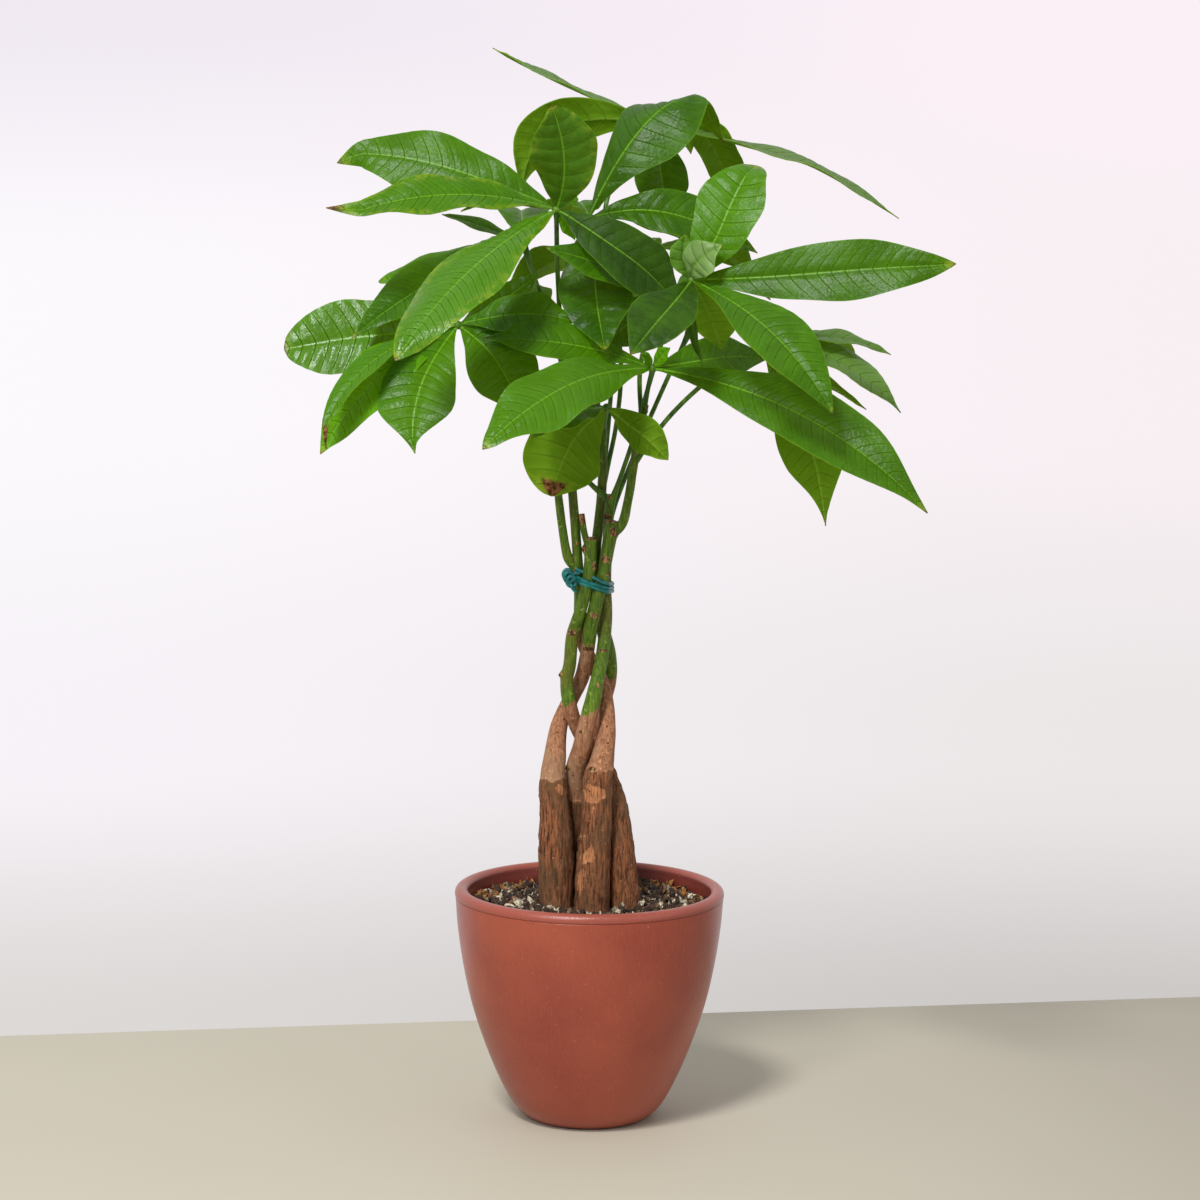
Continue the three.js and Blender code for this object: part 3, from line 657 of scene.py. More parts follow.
# %% The stems' ways and scars
# From the soil up: (x, y, z, radius). The second list is a green shoot or a cut stub on the side.
STEMS = {
    "stem_left": [
        [(-19, -4, 112, 9.6), (-20, -6, 128, 9.9), (-21, -6, 172, 9.8), (-21.5, -6, 189, 8.7),
         (-23, -6, 210, 7.8), (-22, -3.5, 224, 6.8), (-19.3, 4.8, 243, 5.1),
         (-13, 9.6, 257, 4.8), (-6, 5.5, 272, 4.5), (-3.2, -1, 287, 4.2), (-1.5, -6, 301, 4.3),
         (0.5, -8, 312, 4.2), (3, -8, 323, 4), (5.5, -7, 332.5, 3.8), (7.7, -6, 345, 3.8),
         (10.5, -5.5, 362, 4.3), (12, -5.5, 369, 4)],
        [(11, -5.5, 360, 2.6), (17, -8, 367, 2.9), (20.6, -10, 382, 2.7),
         (25.5, -15, 416, 2.5), (30, -20, 440, 2.2)]],
    "stem_right": [
        [(20, -3, 112, 8.7), (21, -4, 128, 9), (17.7, -2, 172, 8), (14, 1, 196, 7.2),
         (7.3, 6, 214, 6.4), (-1, 8.8, 228, 5.4), (-9.3, 1, 243, 4.6), (-13.2, -4.2, 256, 4.3),
         (-15.2, -4, 271, 4), (-13.5, -5, 281, 3.9), (-12, -6, 299, 3.8),
         (-6.8, -9, 316, 3.7), (-3.8, -9, 329, 3.6), (-1.9, -7, 342, 3.7),
         (-1.5, -6, 359, 3.6)],
        [(-2.5, -6.5, 351, 2), (-5.6, -7, 362, 2), (-7.4, -7.4, 373, 1.9)]],
    "stem_middle": [
        [(-8, 9, 112, 7.3), (-8, 10, 128, 7.5), (-8.5, 9, 176, 7.2), (-9, 6, 198, 6.9),
         (-8.5, 0, 217, 6.5), (-5.6, -5.5, 230, 5.8), (-3.6, -8.5, 241, 5.3),
         (0.8, -9.5, 260, 4.8), (3, -8.5, 271, 4.3), (5.1, -6, 281, 4.1), (7.4, -2, 297, 3.9),
         (8.2, 1, 312, 3.8), (7.5, 3, 329, 3.6), (8, 3.5, 345, 3.3), (8.8, 3.3, 362, 3),
         (10.3, 1.5, 384, 2.9)]],
    "stem_front": [
        [(1.2, -12, 112, 9.8), (1.3, -14, 128, 10), (2, -14, 155, 9.8), (3.3, -13.5, 176, 9),
         (4, -13, 192, 8.6), (4.5, -13, 212, 8.5), (7, -10, 224, 7.2), (9.5, -4, 240, 5.4),
         (9.2, 3, 254, 4.7), (6, 7.5, 268, 4.5), (-0.5, 10, 281, 4.3), (-5.7, 7.4, 293, 4.1),
         (-7.3, 3, 308, 4), (-8.2, -1, 329, 3.3), (-9.8, -2, 350, 3), (-12.6, -3, 382, 2.8),
         (-17, -3, 423, 2.7), (-19, -3, 462, 2.5), (-21.5, -5, 495, 2.2)],
        [(-9.6, -2, 338, 2.4), (-14.9, -4.4, 345.5, 3), (-16.6, -5.5, 351.5, 2.8),
         (-18.4, -6.5, 362, 2.6), (-21.2, -7.5, 383, 2.4), (-25, -8, 423, 2.1)]],
    "stem_back": [
        [(9, 14, 112, 7), (9, 15, 128, 7.2), (7, 17, 170, 6.8), (1, 18.5, 205, 6),
         (-2, 20.4, 229, 5.6), (4, 19, 248, 5.2), (10, 17, 266, 4.8), (10.5, 13, 283, 4.5),
         (7, 11, 298, 4.3), (3.2, 9, 312, 4), (0.5, 6, 329, 3.6), (1.5, 6.5, 350, 3.2),
         (3.5, 8, 370, 3), (5, 8, 392, 2.8), (5, 4, 426, 2.5)]],
}
# The height where old bark ends, and the height where the stem turns green.
BARK_ENDS = {"stem_left": (211, 291), "stem_right": (215, 258), "stem_middle": (196, 252),
             "stem_front": (219, 300), "stem_back": (190, 270)}
# Leaf scars: (height, the way they face in degrees, half width, half height, swelling). The
# viewer is at -90 degrees, and a half width above the stem's own makes a full ring.
SCARS = {
    "stem_left": [(291, -90, 6, 1.5, 0.3), (312, -90, 3, 1.5, 0.4), (337, -35, 2, 1.8, 0.6),
                  (346, -95, 2.8, 1.9, 0.8), (363, -45, 4.6, 3.2, 1.0), (369, -90, 20, 0.9, 0.3)],
    "stem_right": [(301, -100, 3, 2, 0.5), (275, -175, 2.4, 1.8, 1.0), (331, -90, 1.5, 1, 0.4),
                   (342, -45, 1.9, 2.3, 0.9), (352, -160, 2.4, 2.8, 1.5),
                   (358.6, -90, 20, 0.9, 0.4)],
    "stem_middle": [(290, -80, 4.5, 0.9, 0.4), (269.5, -70, 1.6, 1.1, 0.4),
                    (217, -150, 2.6, 1.8, 0.8), (241, -120, 1.6, 1.2, 0.4),
                    (371, -120, 2.6, 1.8, 0.7), (383, -90, 20, 0.9, 0.2)],
    "stem_front": [(344, -165, 3, 2.8, 1.1), (322, -90, 1.8, 1.2, 0.4), (355, -90, 1.4, 0.9, 0.4),
                   (219, -125, 3, 1.6, 0.7), (176, -160, 2.5, 2.2, 0.7)],
    "stem_back": [(252, -60, 3, 1.6, 0.5), (300, -90, 20, 0.9, 0.3), (335, 60, 2, 1.4, 0.4)],
}
# Where the bark has peeled: (height, the way it faces, half width, half height).
PEELED = {"stem_front": [(203, -100, 6.2, 8.5), (168, -108, 3.2, 7), (151, -133, 2.4, 10)],
          "stem_left": [(205, -60, 2.2, 4)]}
print(len(STEMS), "stems with", sum(map(len, SCARS.values())), "scars")

# %% Grow the stems
STEM_SIDES = 44
STEM_STEP = 1.3
LEDGE_HEIGHT = 2.5
LEDGE_WAVE = 3
GREENING_HEIGHT = 22
# A shoot's foot is scarred up to SHOOT_SCAR, and the right stem's stub is brown beyond STUB_CUT.
SHOOT_SCAR = 2.6
STUB_CUT = 16
PEEL_WAVE = 0.7
PEEL_SHARPNESS = 5


def patch(side, height, radius, level, facing, wide, tall):
    """How far each point lies from a patch's middle: 1 at the patch's border."""
    turn = np.radians(np.abs((side - facing + 180) % 360 - 180))
    return np.hypot(turn * radius / wide, (height - level) / tall)


def push_bark(points, radius, old, bare, swell, seed):
    """How far each point moves out: ridges and flakes of old bark, soft waves, and knobs."""
    push = np.zeros(len(points))
    for i, (x, y, z) in enumerate(points):
        spot = Vector((x, y, z * 0.2)) + seed
        ridges = noise.noise(spot / 1.7) * 0.6 + noise.noise(spot / 5) * 0.55
        flake = 0.4 if noise.noise(Vector((x, y, z * 0.5)) / 3.6 + seed) > 0.12 else 0.0
        waves = noise.noise(Vector((x * 0.5, y * 0.5, z)) / 9 + seed) * 0.045 * radius[i]
        knobs = 1 + 1.2 * noise.noise(Vector((x, y, z)) / 1.2 + seed)
        rough = 0.5 + ridges + flake - 0.5 * bare[i] * (1 + ridges)
        push[i] = old[i] * rough + (1 - old[i]) * waves + swell[i] * knobs
    return push


def shape_bark(bar, way, name, shoot):
    """Pushes a bar's surface in and out, and marks its bark, green skin and scars."""
    points = read_points(bar) / MM
    centres = way[:, :3]
    nearest = np.argmin(((points[:, None, :] - centres[None]) ** 2).sum(2), axis=1)
    arm = points - centres[nearest]
    radius = way[nearest, 3]
    height = points[:, 2]
    old_end, green_start = BARK_ENDS[name]
    side = np.degrees(np.arctan2(arm[:, 1], arm[:, 0]))
    ragged_edge = np.array([noise.noise(Vector(p) / 4) for p in points])
    old = np.clip((old_end - height + LEDGE_WAVE * ragged_edge) / LEDGE_HEIGHT + 0.5, 0, 1)
    green = np.clip((height - green_start) / GREENING_HEIGHT + 0.5, 0, 1)
    scar, bare, swell = np.zeros((3, len(points)))
    if shoot:
        old[:], green[:] = 0, 1
        reach = nearest * STEM_STEP
        scar = np.clip(1.5 - reach / SHOOT_SCAR, 0, 1)
        swell = 0.6 * scar
        if name == "stem_right":
            scar = np.maximum(scar, np.clip((reach - STUB_CUT) / 2, 0, 1))
    else:
        for level, facing, wide, tall, bulge in SCARS[name]:
            spot = np.clip(1.5 - patch(side, height, radius, level, facing, wide, tall), 0, 1)
            scar = np.maximum(scar, spot)
            swell = np.maximum(swell, bulge * spot)
        for area in PEELED.get(name, []):
            border = patch(side, height, radius, *area) + PEEL_WAVE * ragged_edge
            bare = np.maximum(bare, np.clip((1 - border) * PEEL_SHARPNESS, 0, 1))
    push = push_bark(points, radius, old, bare, swell, Vector((len(name) * 7.3, 0, 0)))
    share = 1 + push / np.maximum(radius, 1)
    outer = np.linalg.norm(arm, axis=1) > radius * 0.5
    points[outer] = centres[nearest][outer] + arm[outer] * share[outer, None]
    write_points(bar, points * MM)
    mark(bar, old=old, bare=bare, green=green, scar=scar)


def grow_stem(name):
    bars = []
    for i, stations in enumerate(STEMS[name]):
        way = smooth_way(stations, STEM_STEP)
        bar = round_bar(name, way, STEM_SIDES if i == 0 else STEM_SIDES // 2)
        shape_bark(bar, way, name, shoot=i > 0)
        wear(bar, bark)
        bars.append(bar)
    stem = join_pieces(name + "_bark", bars)
    smooth_shade(stem, 60)
    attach(stem, "root")
    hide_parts(name)
    print(stem.name, len(stem.data.polygons), "faces")


for name in STEMS:
    grow_stem(name)

# %% [markdown]
# ## The tie
#
# A soft teal cord goes round the stems just above the braid and is knotted at the left. Drawn
# tight, it lies on the outermost stem in each direction and runs straight from one to the
# next. Two turns go round all five stems. The third leaves out the stem that starts at the
# right and passes behind it. The knot is a short coil with two ends.

# %% Wind the tie
TIE_HEIGHT = 330.5
TIE_STRAND = 1.15
TIE_PRESS = 0.75
TURN_STEP = 3
ALL_STEMS = list(STEMS)
BUT_RIGHT = [name for name in ALL_STEMS if name != "stem_right"]
# Each turn: its stems, how far it lies above the tie's height, and how steeply it slopes.
TURNS = [(ALL_STEMS, 0.9, 0.34), (ALL_STEMS, -1.2, 0.34), (BUT_RIGHT, 4.4, 0.44)]
KNOT = (-14.2, -8, 334.2)
COIL_TURNS = 4
COIL_STEPS = 21
COIL_SIZE = (2.6, 1.5, 2.8)
COIL_DRIFT = (3, 0, -5)
TIE_ENDS = [
    [(-13, -8, 335.5, 1.15), (-10.4, -9.6, 337.4, 1.15), (-8, -9.4, 337.6, 1.1)],
    [(-14, -8, 332, 1.15), (-12.4, -9.6, 328.6, 1.15), (-10.2, -8.6, 325.8, 1.1)],
]


def stem_at(name, height):
    """The middle and radius of a stem's main bar at a height."""
    way = smooth_way(STEMS[name][0], STEM_STEP)
    return way[np.argmin(np.abs(way[:, 2] - height))]


def tight_turn(names, rise, slope):
    """A cord round the named stems, sloping down to the right."""
    rounds = [stem_at(name, TIE_HEIGHT) for name in names]
    corners = []
    for angle in np.radians(np.arange(0, 360 + TURN_STEP, TURN_STEP)):
        way_out = np.array([math.cos(angle), math.sin(angle)])
        x, y, _, radius = max(rounds, key=lambda bar: float(bar[:2] @ way_out) + bar[3])
        reach = radius + TIE_PRESS * TIE_STRAND
        x, y = x + reach * way_out[0], y + reach * way_out[1]
        corners.append((x, y, TIE_HEIGHT + rise - slope * x, TIE_STRAND))
    return np.array(corners)


def knot_coil():
    way = []
    count = COIL_TURNS * COIL_STEPS
    for i in range(count):
        angle = 2 * math.pi * i / COIL_STEPS
        swing = (math.cos(angle), math.sin(angle / 2), math.sin(angle))
        drift = i / (count - 1) - 0.5
        way.append([middle + size * part + drift * far for middle, size, part, far
                    in zip(KNOT, COIL_SIZE, swing, COIL_DRIFT)] + [TIE_STRAND])
    return np.array(way)


cord_ways = [tight_turn(*turn) for turn in TURNS] + [knot_coil()]
cord_ways += [smooth_way(end, 0.5) for end in TIE_ENDS]
cord_length = sum(np.linalg.norm(np.diff(way[:, :3], axis=0), axis=1).sum() for way in cord_ways)
tie = join_pieces("teal_tie", [round_bar("strand", way, 12) for way in cord_ways])
wear(tie, tie_plastic)
smooth_shade(tie, 60)
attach(tie, "root")
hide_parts("plant_tie")
print(f"tie: {cord_length:.0f} mm of cord, {len(tie.data.polygons)} faces")

# %% [markdown]
# ## The fronds
#
# A leaflet starts as a flat grid that is one long and one wide. Code then carries every point
# to its place: along the curved rib, out to the side by the leaflet's width there, and up
# or down for the fold, the waves of the edge, the groove of the midrib and the pillows
# between the side veins. Solidify gives the blade its thickness and a lower face of its own.
# The table holds, for each frond, the hub where its leaflets meet, the way of its stalk from
# the stem, and its leaflets. A leaflet has its tip, its bow (how far the rib stands out from a
# straight line), the way its upper side faces at the hub and its width, and then whatever
# makes it differ from the usual one, such as `end`, the way it faces at the tip.

# %% The fronds' table
def leaf(tip, bow, face, width, **more):
    """One leaflet's row. What it doesn't name has the usual value given here."""
    # One of these values is a painted sheen: a whitish grey-green laid on the blade.
    row = dict(end=face, fold=0.1, blunt=0, taper=0.35, hook=(0, 0, 0), start=0.9, quilt=1.7,
               wave=1.2, spacing=8, tone=0.25, shine=0.15, pale=0, dull=0, yellow=0,
               burn=0.012, burn_width=1.2)
    row.update(tip=tip, bow=bow, face=face, width=width, **more)
    return SimpleNamespace(**row)


def frond(hub, way, *leaflets):
    return SimpleNamespace(hub=hub, way=way, leaflets=leaflets)


FRONDS = {
    "frond_01": frond(
        (-24, -20, 555), [(-21.5, -5, 488), (-23.5, -11, 528)],
        leaf((-152, -5, 587), (0, -6, 8), (0, -1, 0.5), 42, fold=-0.1, blunt=0.45, hook=(-3, 0, -6),
             tone=0.45, wave=2),
        leaf((-148, -60, 550), (0, -8, 11), (0, -0.8, 0.8), 30, blunt=0.35, hook=(-9, 0, 5),
             tone=0.5, burn=0.035, yellow=0.35, wave=2),
        leaf((-112, -135, 471), (-4, -12, 8), (-0.3, -0.9, 0.7), 42, fold=-0.2, blunt=0.5,
             tone=0.75, yellow=0.35, quilt=3.6, spacing=6, wave=2.4, shine=0.9),
        leaf((-27, -50, 615), (6, -4, 0), (0, -1, 0.3), 40, blunt=0.6, tone=0.3, yellow=0.25,
             dull=0.6),
        leaf((54, -13, 494), (2, -18, 5), (0.2, -1, 0.6), 38, blunt=0.3, tone=0, dull=0.7),
        leaf((-82, 15, 553), (0, 0, 6), (0, 0.3, 1), 22),
        leaf((-13, -13, 537), (1, 0, 1), (0, -1, 0), 10, tone=1.2),
        leaf((-13, 0, 567), (0, 0, 1), (0, -1, 0.2), 13, tone=1.3)),
    "frond_02": frond(
        (-5, 5, 550), [(4.6, 8, 402), (2, 13, 435), (1, 13, 465), (-3, 11, 510)],
        leaf((76, 34, 626), (-4, -9, 22), (-0.6, -1, 0.45), 54, end=(0.4, 0.6, 0.7), fold=-0.4,
             taper=0.2, hook=(0, 0, -30), start=0.8, tone=0.25),
        leaf((97, 15, 530), (0, -6, 13), (0, -1, 0.6), 32, tone=0.2),
        leaf((5.7, -52, 473.5), (-1, 8, 0), (0, -1, 0.2), 44, blunt=0.2, tone=0.2),
        leaf((-20, 95, 540), (0, 0, 14), (0, 0.5, 1), 34),
        leaf((84, 48, 522), (0, 0, 10), (0, 0.3, 1), 30)),
    "frond_03": frond(
        (40, 70, 607), [(4.6, 9, 386), (13, 17, 425), (15.5, 22, 462), (9, 33, 510), (4, 42, 545),
                        (13, 58, 580)],
        leaf((-66, 85, 653), (0, 0, -3), (0.2, -0.08, 1), 28, pale=0.35),
        leaf((187, 75, 566), (0, 0, 2), (-0.1, -0.16, 1), 32, hook=(0, 0, -15), start=0.6,
             pale=0.35),
        leaf((88, 88, 541), (7, 3, 21), (0.6, 0.7, 0.6), 34),
        leaf((44, 58, 547), (-3, 0, 0), (0, -1, 0.3), 33),
        leaf((-46, 48, 568), (-21, 1, 17), (-0.4, 1, 0.5), 37, blunt=0.2),
        leaf((60, 170, 590), (0, 0, 18), (0, 0.2, 1), 38)),
    "frond_04": frond(
        (56, -45, 515), [(10.2, 1, 378), (23, -3, 417), (32, -6, 450), (43, -22, 488)],
        leaf((208, -70, 527), (0, -4, 0), (0, -1, 0.3), 36, blunt=0.45, tone=0.4),
        leaf((135, -125, 443), (6, -14, 8), (0.2, -0.8, 0.6), 38, tone=0.45),
        leaf((20, -115, 475), (2, -8, 3), (-0.2, -1, 0.3), 36, blunt=0.3, tone=0.05, dull=0.5),
        leaf((92, -32, 586), (1, -8, 1.5), (-0.25, -1, 0.35), 40, end=(0, -0.6, 1), blunt=0.8,
             hook=(2, 9, -4), start=0.85, tone=0.7),
        leaf((73, -60, 536), (-5, -3, 1), (-0.4, -1, 0.3), 24, pale=0.7),
        leaf((52, -50, 542), (-3, -1, 0), (0.4, -1, 0.2), 19, tone=0.7, pale=0.2),
        leaf((62.6, -50, 467), (-3, -3, 0), (-1, -0.6, 0.2), 10, tone=-0.5, dull=1),
        leaf((75, -15, 473), (2, 0, 0), (0.3, 1, 0.2), 30, tone=0.8)),
    "frond_05": frond(
        (44, -6, 505), [(28, -17.5, 428), (27, -8, 462), (34, -5, 488)],
        leaf((-30, -40, 533), (0, -7, 3), (0, -0.9, 0.7), 26),
        leaf((3, 10, 471), (0, 2, 2), (0, -1, 0.3), 28),
        leaf((108, 70, 500), (0, 0, 14), (0.2, 0.3, 1), 36),
        leaf((25, 85, 480), (0, 0, 14), (0, 0.6, 1), 36)),
    "frond_06": frond(
        (34, -25, 462), [(29.5, -19.5, 436), (31.5, -22, 450)],
        leaf((-63, -125, 421), (-3, -12, 13), (-0.2, -0.9, 0.5), 42, fold=-0.1, blunt=0.4, tone=0.4,
             wave=2.6, shine=0.4),
        leaf((191, -110, 386), (8, -14, 15), (0.2, -0.9, 0.5), 42, tone=0.3),
        leaf((105, 10, 467), (0, -2, 3), (0, -1, 0.5), 28),
        leaf((-66, -48, 480), (0, -6, 6), (0, -0.8, 0.8), 30),
        leaf((27, -38, 471), (0, 0, 1), (0, -1, 0.5), 8, tone=1.2),
        leaf((44, -35, 475), (0, 0, 1), (0, -1, 0.5), 9, tone=1.2)),
    "frond_07": frond(
        (7, -18, 438), [(5, 4, 424), (6.5, -8, 432)],
        leaf((-25, -34, 386), (-6, -4, 3), (-0.2, 1, 0.2), 50, blunt=0.8, burn=0.15, burn_width=0.6,
             tone=0.5),
        leaf((43.8, -34, 408.5), (1, -4, 1.5), (0.2, 1, 0.3), 23, blunt=0.4),
        leaf((-36, -66, 423), (0, -4, 6), (-0.3, -0.8, 0.6), 28)),
    "frond_08": frond(
        (102, 40, 473), [(24.5, -14, 406), (45, -2, 432), (63, 10, 449), (85, 28, 465)],
        leaf((180, 30, 469), (0, 0, 8), (0.2, -0.3, 1), 24, pale=0.3),
        leaf((185, 10, 435), (3, 0, 12), (0.5, -0.5, 0.8), 34, taper=0.5, pale=0.4),
        leaf((165, 20, 436), (0, 0, 2), (0.2, 0.5, 0.8), 13),
        leaf((131, 5, 447), (0, 0, 2), (0.2, 1, 0.6), 24),
        leaf((142, 25, 364), (7, 0, 3), (0.3, 1, 0.2), 42, taper=0.75),
        leaf((168, 116, 448), (0, 0, 14), (0.2, 0.5, 1), 36)),
    "frond_09": frond(
        (-82, -15, 486), [(-24.7, -8, 419), (-38, -12, 450), (-60, -15, 475)],
        leaf((-185, -22, 471), (0, -3, 1), (0, -1, 0.4), 46, blunt=1, tone=0.5, quilt=3, wave=1.6,
             shine=1),
        leaf((-159, -84, 422), (-10, -8, 12), (-0.5, -0.7, 0.6), 19, hook=(4, 0, -5), burn=0.08,
             tone=0.6),
        leaf((-160, -62, 412), (-5, -6, 9), (-0.3, -1, 0.2), 34, blunt=0.3, tone=0.9, wave=3),
        leaf((-104, -75, 414), (-10, -8, -1), (-0.1, -1, 0.3), 46, taper=0.75, tone=0.45, quilt=1.4,
             wave=1.8, shine=0.5),
        leaf((-41, -50, 433), (5, -4, 4), (0.2, -1, 0.3), 42, tone=0.4),
        leaf((-28, -22, 470), (0, -2, 3), (0.1, -0.8, 0.7), 26),
        leaf((-10, -30, 489), (0, -4, 6), (0, -0.8, 0.7), 30, tone=0.3),
        leaf((-33, 5, 518), (0, 4, -2), (0, -1, 0.6), 18)),
    "frond_10": frond(
        (-44, 25, 533), [(9.6, 2, 380), (-8, 4, 398), (-16, 12, 438), (-25, 16, 480),
                         (-38, 21, 515)],
        leaf((-143, -45, 479), (-4, -4, 6), (-0.3, -0.9, 0.4), 33, tone=0.3),
        leaf((-134, 52, 509), (0, 0, 1), (-0.3, -0.6, 1), 26, blunt=0.8, tone=1),
        leaf((-94, 25, 551), (0, 0, 2), (0, -0.5, 1), 14),
        leaf((-50, 130, 545), (0, 0, 14), (0, 0.5, 1), 36)),
    "frond_11": frond(
        (20, 92, 520), [(4.2, 8, 376), (8, 32, 420), (13, 68, 480)],
        leaf((20, 195, 505), (0, 0, 20), (0, 0.4, 1), 42),
        leaf((-60, 165, 495), (0, 0, 16), (0, 0.4, 1), 38),
        leaf((105, 165, 510), (0, 0, 18), (0, 0.4, 1), 40)),
    "frond_12": frond(
        (-62, 75, 502), [(-15, -3, 406), (-28, 20, 440), (-50, 58, 484)],
        leaf((-124, 90, 488), (0, 0, 9), (-0.4, 0.2, 1), 34),
        leaf((-98, 158, 478), (0, 0, 14), (-0.2, 0.4, 1), 38),
        leaf((-34, 172, 480), (0, 0, 12), (0.1, 0.5, 1), 34)),
    "frond_13": frond(
        (58, 84, 478), [(9, 2.7, 368), (25, 26, 408), (46, 62, 454)],
        leaf((114, 108, 470), (0, 0, 9), (0.4, 0.2, 1), 30),
        leaf((112, 175, 466), (0, 0, 14), (0.2, 0.4, 1), 38),
        leaf((38, 188, 468), (0, 0, 13), (0, 0.5, 1), 36)),
}
print(len(FRONDS), "fronds with", sum(len(f.leaflets) for f in FRONDS.values()), "leaflets")

# %% Helpers for one leaflet
BLADE_ROWS = 60
BLADE_COLUMNS = 16
BLADE_THICKNESS = 0.55
FULL_WIDTH = 36
GROOVE_DEPTH = 0.55
GROOVE_WIDTH = 1.3
PILLOW_HEIGHT = 0.55
HOOK_POWER = 1.3
RIB_STEP = 0.01


def step_between(value, low, high):
    t = np.clip((value - low) / (high - low), 0, 1)
    return t * t * (3 - 2 * t)


def width_share(u, blunt, taper):
    """Half a leaflet's width along its rib, as a share of its widest."""
    u = np.clip(u, 0, 0.9995)
    body = np.sin(np.pi * u ** (1.2 + 0.15 * blunt)) ** (0.95 - 0.45 * blunt)
    return body * (1 - taper * (1 - blunt) * step_between(u, 0.65, 1))


def unit(rows):
    return rows / np.maximum(np.linalg.norm(rows, axis=-1, keepdims=True), 1e-9)


def rib_points(hub, row, u):
    """Points on the rib: an arc from hub to tip whose last part is bent by the hook."""
    hub, tip = np.array(hub, float), np.array(row.tip, float)
    middle = (hub + tip) / 2 + 2 * np.array(row.bow, float)
    u = u[:, None]
    bent = np.clip((u - row.start) / (1 - row.start), 0, 1) ** HOOK_POWER
    arc = (1 - u) ** 2 * hub + 2 * u * (1 - u) * middle + u ** 2 * tip
    return arc + bent * np.array(row.hook, float)


print("leaflets have", BLADE_ROWS, "rows and", BLADE_COLUMNS, "columns")

# %% Shape one leaflet
def shape_blade(row, u, s, half, vein, draw):
    """How far each point lies above the flat blade and to its side, in millimetres."""
    away = np.abs(s)
    body = step_between(u, 0.04, 0.16) * (1 - step_between(u, 0.9, 1))
    pillow = np.abs(np.sin(np.pi * vein)) ** 0.8 * step_between(away, 0.03, 0.25)
    pillow *= (1 - 0.75 * step_between(away, 0.75, 1)) * body
    pillow *= 1 + 0.35 * np.sin(9 * u + 5 * s + draw.uniform(0, 6)) * np.sin(23 * u - 7 * s)
    edges = 1 + 0.022 * np.sin(2 * np.pi * (3.1 * u + np.sign(s) * 0.3) + draw.uniform(0, 6))
    size = min(1.0, row.width / FULL_WIDTH)
    beat, shift = draw.uniform(2.2, 3.4), draw.uniform(0, 6.28)
    ripple = np.sin(2 * np.pi * beat * u + shift + 1.7 * np.sign(s)) * away ** 2
    lift = half * away * row.fold + ripple * row.wave * size * body
    lift = lift + PILLOW_HEIGHT * row.quilt * size * pillow
    lift = lift - GROOVE_DEPTH * np.exp(-((away * half) / GROOVE_WIDTH) ** 2) * body
    wander = draw.uniform(-1, 1) * size * np.sin(np.pi * u) * np.sin(2 * np.pi * u)
    return lift, s * half * edges + wander


def mark_blade(blade, row, u, away, half, vein, draw):
    """Marks what the leaf finishes read."""
    fresh_end = 1 - row.burn
    burnt = step_between(u, fresh_end - 0.01, fresh_end + 0.01)
    yellow = row.yellow * step_between(away, 0.6, 0.97)
    # Among these marks is the painted sheen, a whitish grey-green for the finish to lay on the
    # blade.
    mark(blade, along=u, rib_mm=away * half, edge=away, vein=vein,
         tone=row.tone + draw.uniform(-0.14, 0.14), shine=row.shine, pale=row.pale,
         dull=row.dull, yellow=yellow + 0.5 * step_between(u, fresh_end - 0.05, fresh_end),
         burn=burnt * step_between(row.burn_width - away, 0, 0.15))


def shape_leaflet(hub, row, draw):
    blade = add_piece("blade", bpy.ops.mesh.primitive_grid_add, x_subdivisions=BLADE_ROWS,
                      y_subdivisions=BLADE_COLUMNS, size=1)
    flat = read_points(blade)
    u = np.clip(flat[:, 0] + 0.5, 0, 1)
    s = -2 * flat[:, 1]
    s = np.sign(s) * np.abs(s) ** 1.25
    away = np.abs(s)
    along = unit(rib_points(hub, row, np.minimum(u + RIB_STEP, 1))
                 - rib_points(hub, row, np.maximum(u - RIB_STEP, 0)))
    face, end = unit(np.array([row.face, row.end], float))
    turned = step_between(u, row.start - 0.4, min(1, row.start + 0.3))
    aside = unit(np.cross(along, face + (end - face) * turned[:, None]))
    share = width_share(u, row.blunt, row.taper)
    half = np.maximum(1.1 - 0.9 * u, row.width / 2 * share)
    veins = max(5, round(math.dist(row.tip, hub) / row.spacing))
    vein = veins * (u - 0.1 * away ** 1.3 * share) + draw.random()
    lift, side = shape_blade(row, u, s, half, vein, draw)
    points = rib_points(hub, row, u) + aside * side[:, None]
    write_points(blade, (points + np.cross(aside, along) * lift[:, None]) * MM)
    mark_blade(blade, row, u, away, half, vein, draw)
    wear(blade, leaf_upper, leaf_under)
    return blade


print("a blade is", BLADE_THICKNESS, "mm thick")

# %% Grow the fronds
STALK_RADIUS = 1.45
HUB_RADIUS = 2.6
SWELLING = 0.06


def grow_stalk(row):
    """The frond's stalk, swollen where it leaves the stem and below its hub, and its hub."""
    stations = [(*point, STALK_RADIUS) for point in [*row.way, row.hub]]
    way = smooth_way(stations, 3)
    reach = np.linspace(0, 1, len(way))
    foot, top = np.exp(-(reach / SWELLING) ** 2), np.exp(-((1 - reach) / SWELLING) ** 2)
    way[:, 3] *= 1 + 0.7 * foot + 0.5 * top
    stalk = round_bar("stalk", way, 12)
    hub = add_piece("hub", bpy.ops.mesh.primitive_ico_sphere_add, subdivisions=3,
                    radius=HUB_RADIUS * MM, location=Vector(row.hub) * MM)
    bpy.ops.object.transform_apply(location=True, rotation=True, scale=True)
    for piece in (stalk, hub):
        wear(piece, green_stalk)
    return [stalk, hub]


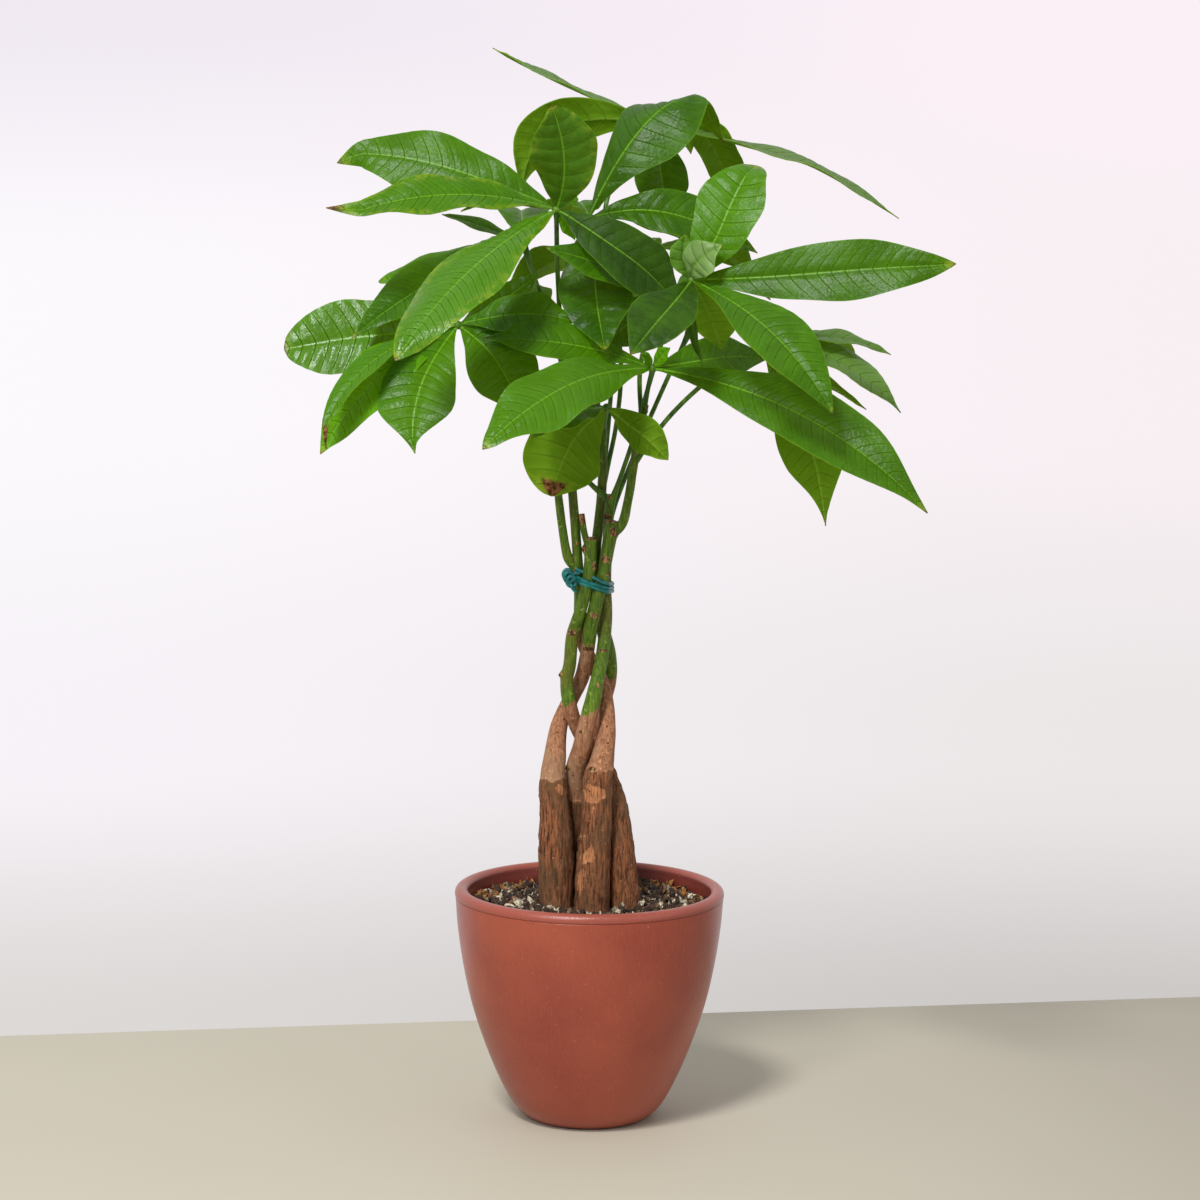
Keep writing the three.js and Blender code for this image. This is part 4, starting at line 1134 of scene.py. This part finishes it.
def grow_frond(name, row):
    draw = random.Random(int(name[-2:]) * 31)
    blades = join_pieces(name, [shape_leaflet(row.hub, leaflet, draw) for leaflet in row.leaflets])
    thicken(blades, BLADE_THICKNESS, 0, lower_finish=1)
    whole = join_pieces(name + "_leaves", [blades, *grow_stalk(row)])
    smooth_shade(whole, 55)
    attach(whole, "root")
    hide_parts(name)
    print(whole.name, len(row.leaflets), "leaflets,", len(whole.data.polygons), "faces")


for name, row in FRONDS.items():
    grow_frond(name, row)

# %% [markdown]
# ## Floor, backdrop and light
#
# The plant stands on a pale floor that ends a hand's breadth behind it, in front of a bright,
# almost white backdrop. The key light is a lamp from the upper left, so the pot has a soft
# shadow on its right. A second lamp beside the camera and a weak one from the right soften
# it, and the backdrop gives light too, most of it from behind the plant.

# %% Lay the floor
FLOOR_EDGE = 0.238
FLOOR_SLANT = 0.176
FLOOR_FRONT = -4
FLOOR_WIDTH = 8


def floor_recipe():
    place = put("SeparateXYZ", {0: put("TexCoord").outputs["Object"]})
    colour = blend(grain(3, 2), paint(182, 175, 158), paint(190, 184, 167))
    # Painted shade: the floor is darkened towards the right, where less light reaches it.
    colour = layered(colour, (paint(162, 155, 141), place.outputs["X"], 0.0, 0.6, 1))
    return surface(colour, 0.7)


floor = add_piece("floor", bpy.ops.mesh.primitive_plane_add, size=1)
corners = read_points(floor)
for corner in corners:
    behind = corner[1] > 0
    corner[0] *= FLOOR_WIDTH
    corner[1] = FLOOR_EDGE + FLOOR_SLANT * corner[0] if behind else FLOOR_FRONT
write_points(floor, corners)
wear(floor, finish("pale_floor", floor_recipe))
print("floor ends", FLOOR_EDGE, "m behind the pot's axis")

# %% Light the scene
SKY_POWER = 0.85
# The backdrop has its shade painted in: it is greyer at its foot, most of all on the right.
BACKDROP_FOOT = (paint(221, 217, 215), paint(202, 198, 196))
# Going up: the slopes between which a band turns into the next, and its colours left and right.
BACKDROP_BANDS = [
    (-0.25, -0.17, paint(247, 243, 248), paint(235, 231, 231)),
    (-0.16, -0.07, paint(252, 249, 253), paint(248, 239, 243)),
    (-0.03, 0.05, paint(240, 233, 242), paint(251, 240, 246))]
LIT = (0, 0, 0.35)


def lamp(name, place, size, power):
    data = bpy.data.lights.new(name, "AREA")
    data.shape = "DISK"
    data.size = size
    data.energy = power
    made = bpy.data.objects.new(name, data)
    bpy.context.scene.collection.objects.link(made)
    made.location = place
    made.rotation_euler = (Vector(LIT) - Vector(place)).to_track_quat("-Z", "Y").to_euler()


def backdrop_light():
    """The world: the backdrop as it looks, and its soft light, strongest from behind."""
    bpy.context.scene.world = start_tree(bpy.data.worlds.new("backdrop"))
    direction = put("SeparateXYZ", {0: put("TexCoord").outputs["Generated"]})
    across = between(direction.outputs["X"], -0.18, 0.18)
    shown = blend(across, *BACKDROP_FOOT)
    for low, high, left, right in BACKDROP_BANDS:
        band = blend(across, left, right)
        shown = layered(shown, (band, direction.outputs["Z"], low, high, 1))
    seen = put("Background", {"Color": shown, "Strength": 1.0})
    behind = between(direction.outputs["Y"], -0.2, 0.8, 0.55, 1.0)
    light = put("Background", {"Color": paint(250, 249, 250),
                               "Strength": times(behind, SKY_POWER)})
    to_camera = put("LightPath").outputs["Is Camera Ray"]
    mix = put("MixShader", {0: to_camera, 1: light.outputs[0], 2: seen.outputs[0]})
    put("OutputWorld", {"Surface": mix.outputs[0]})


backdrop_light()
lamp("soft_key", (-0.6, -1.5, 2.3), 0.5, 50)
lamp("soft_fill", (1.9, -1.2, 1.1), 1.5, 6)
lamp("front_light", (-1.0, -2.0, 1.5), 0.5, 18)
print("lights:", len(bpy.data.lights))
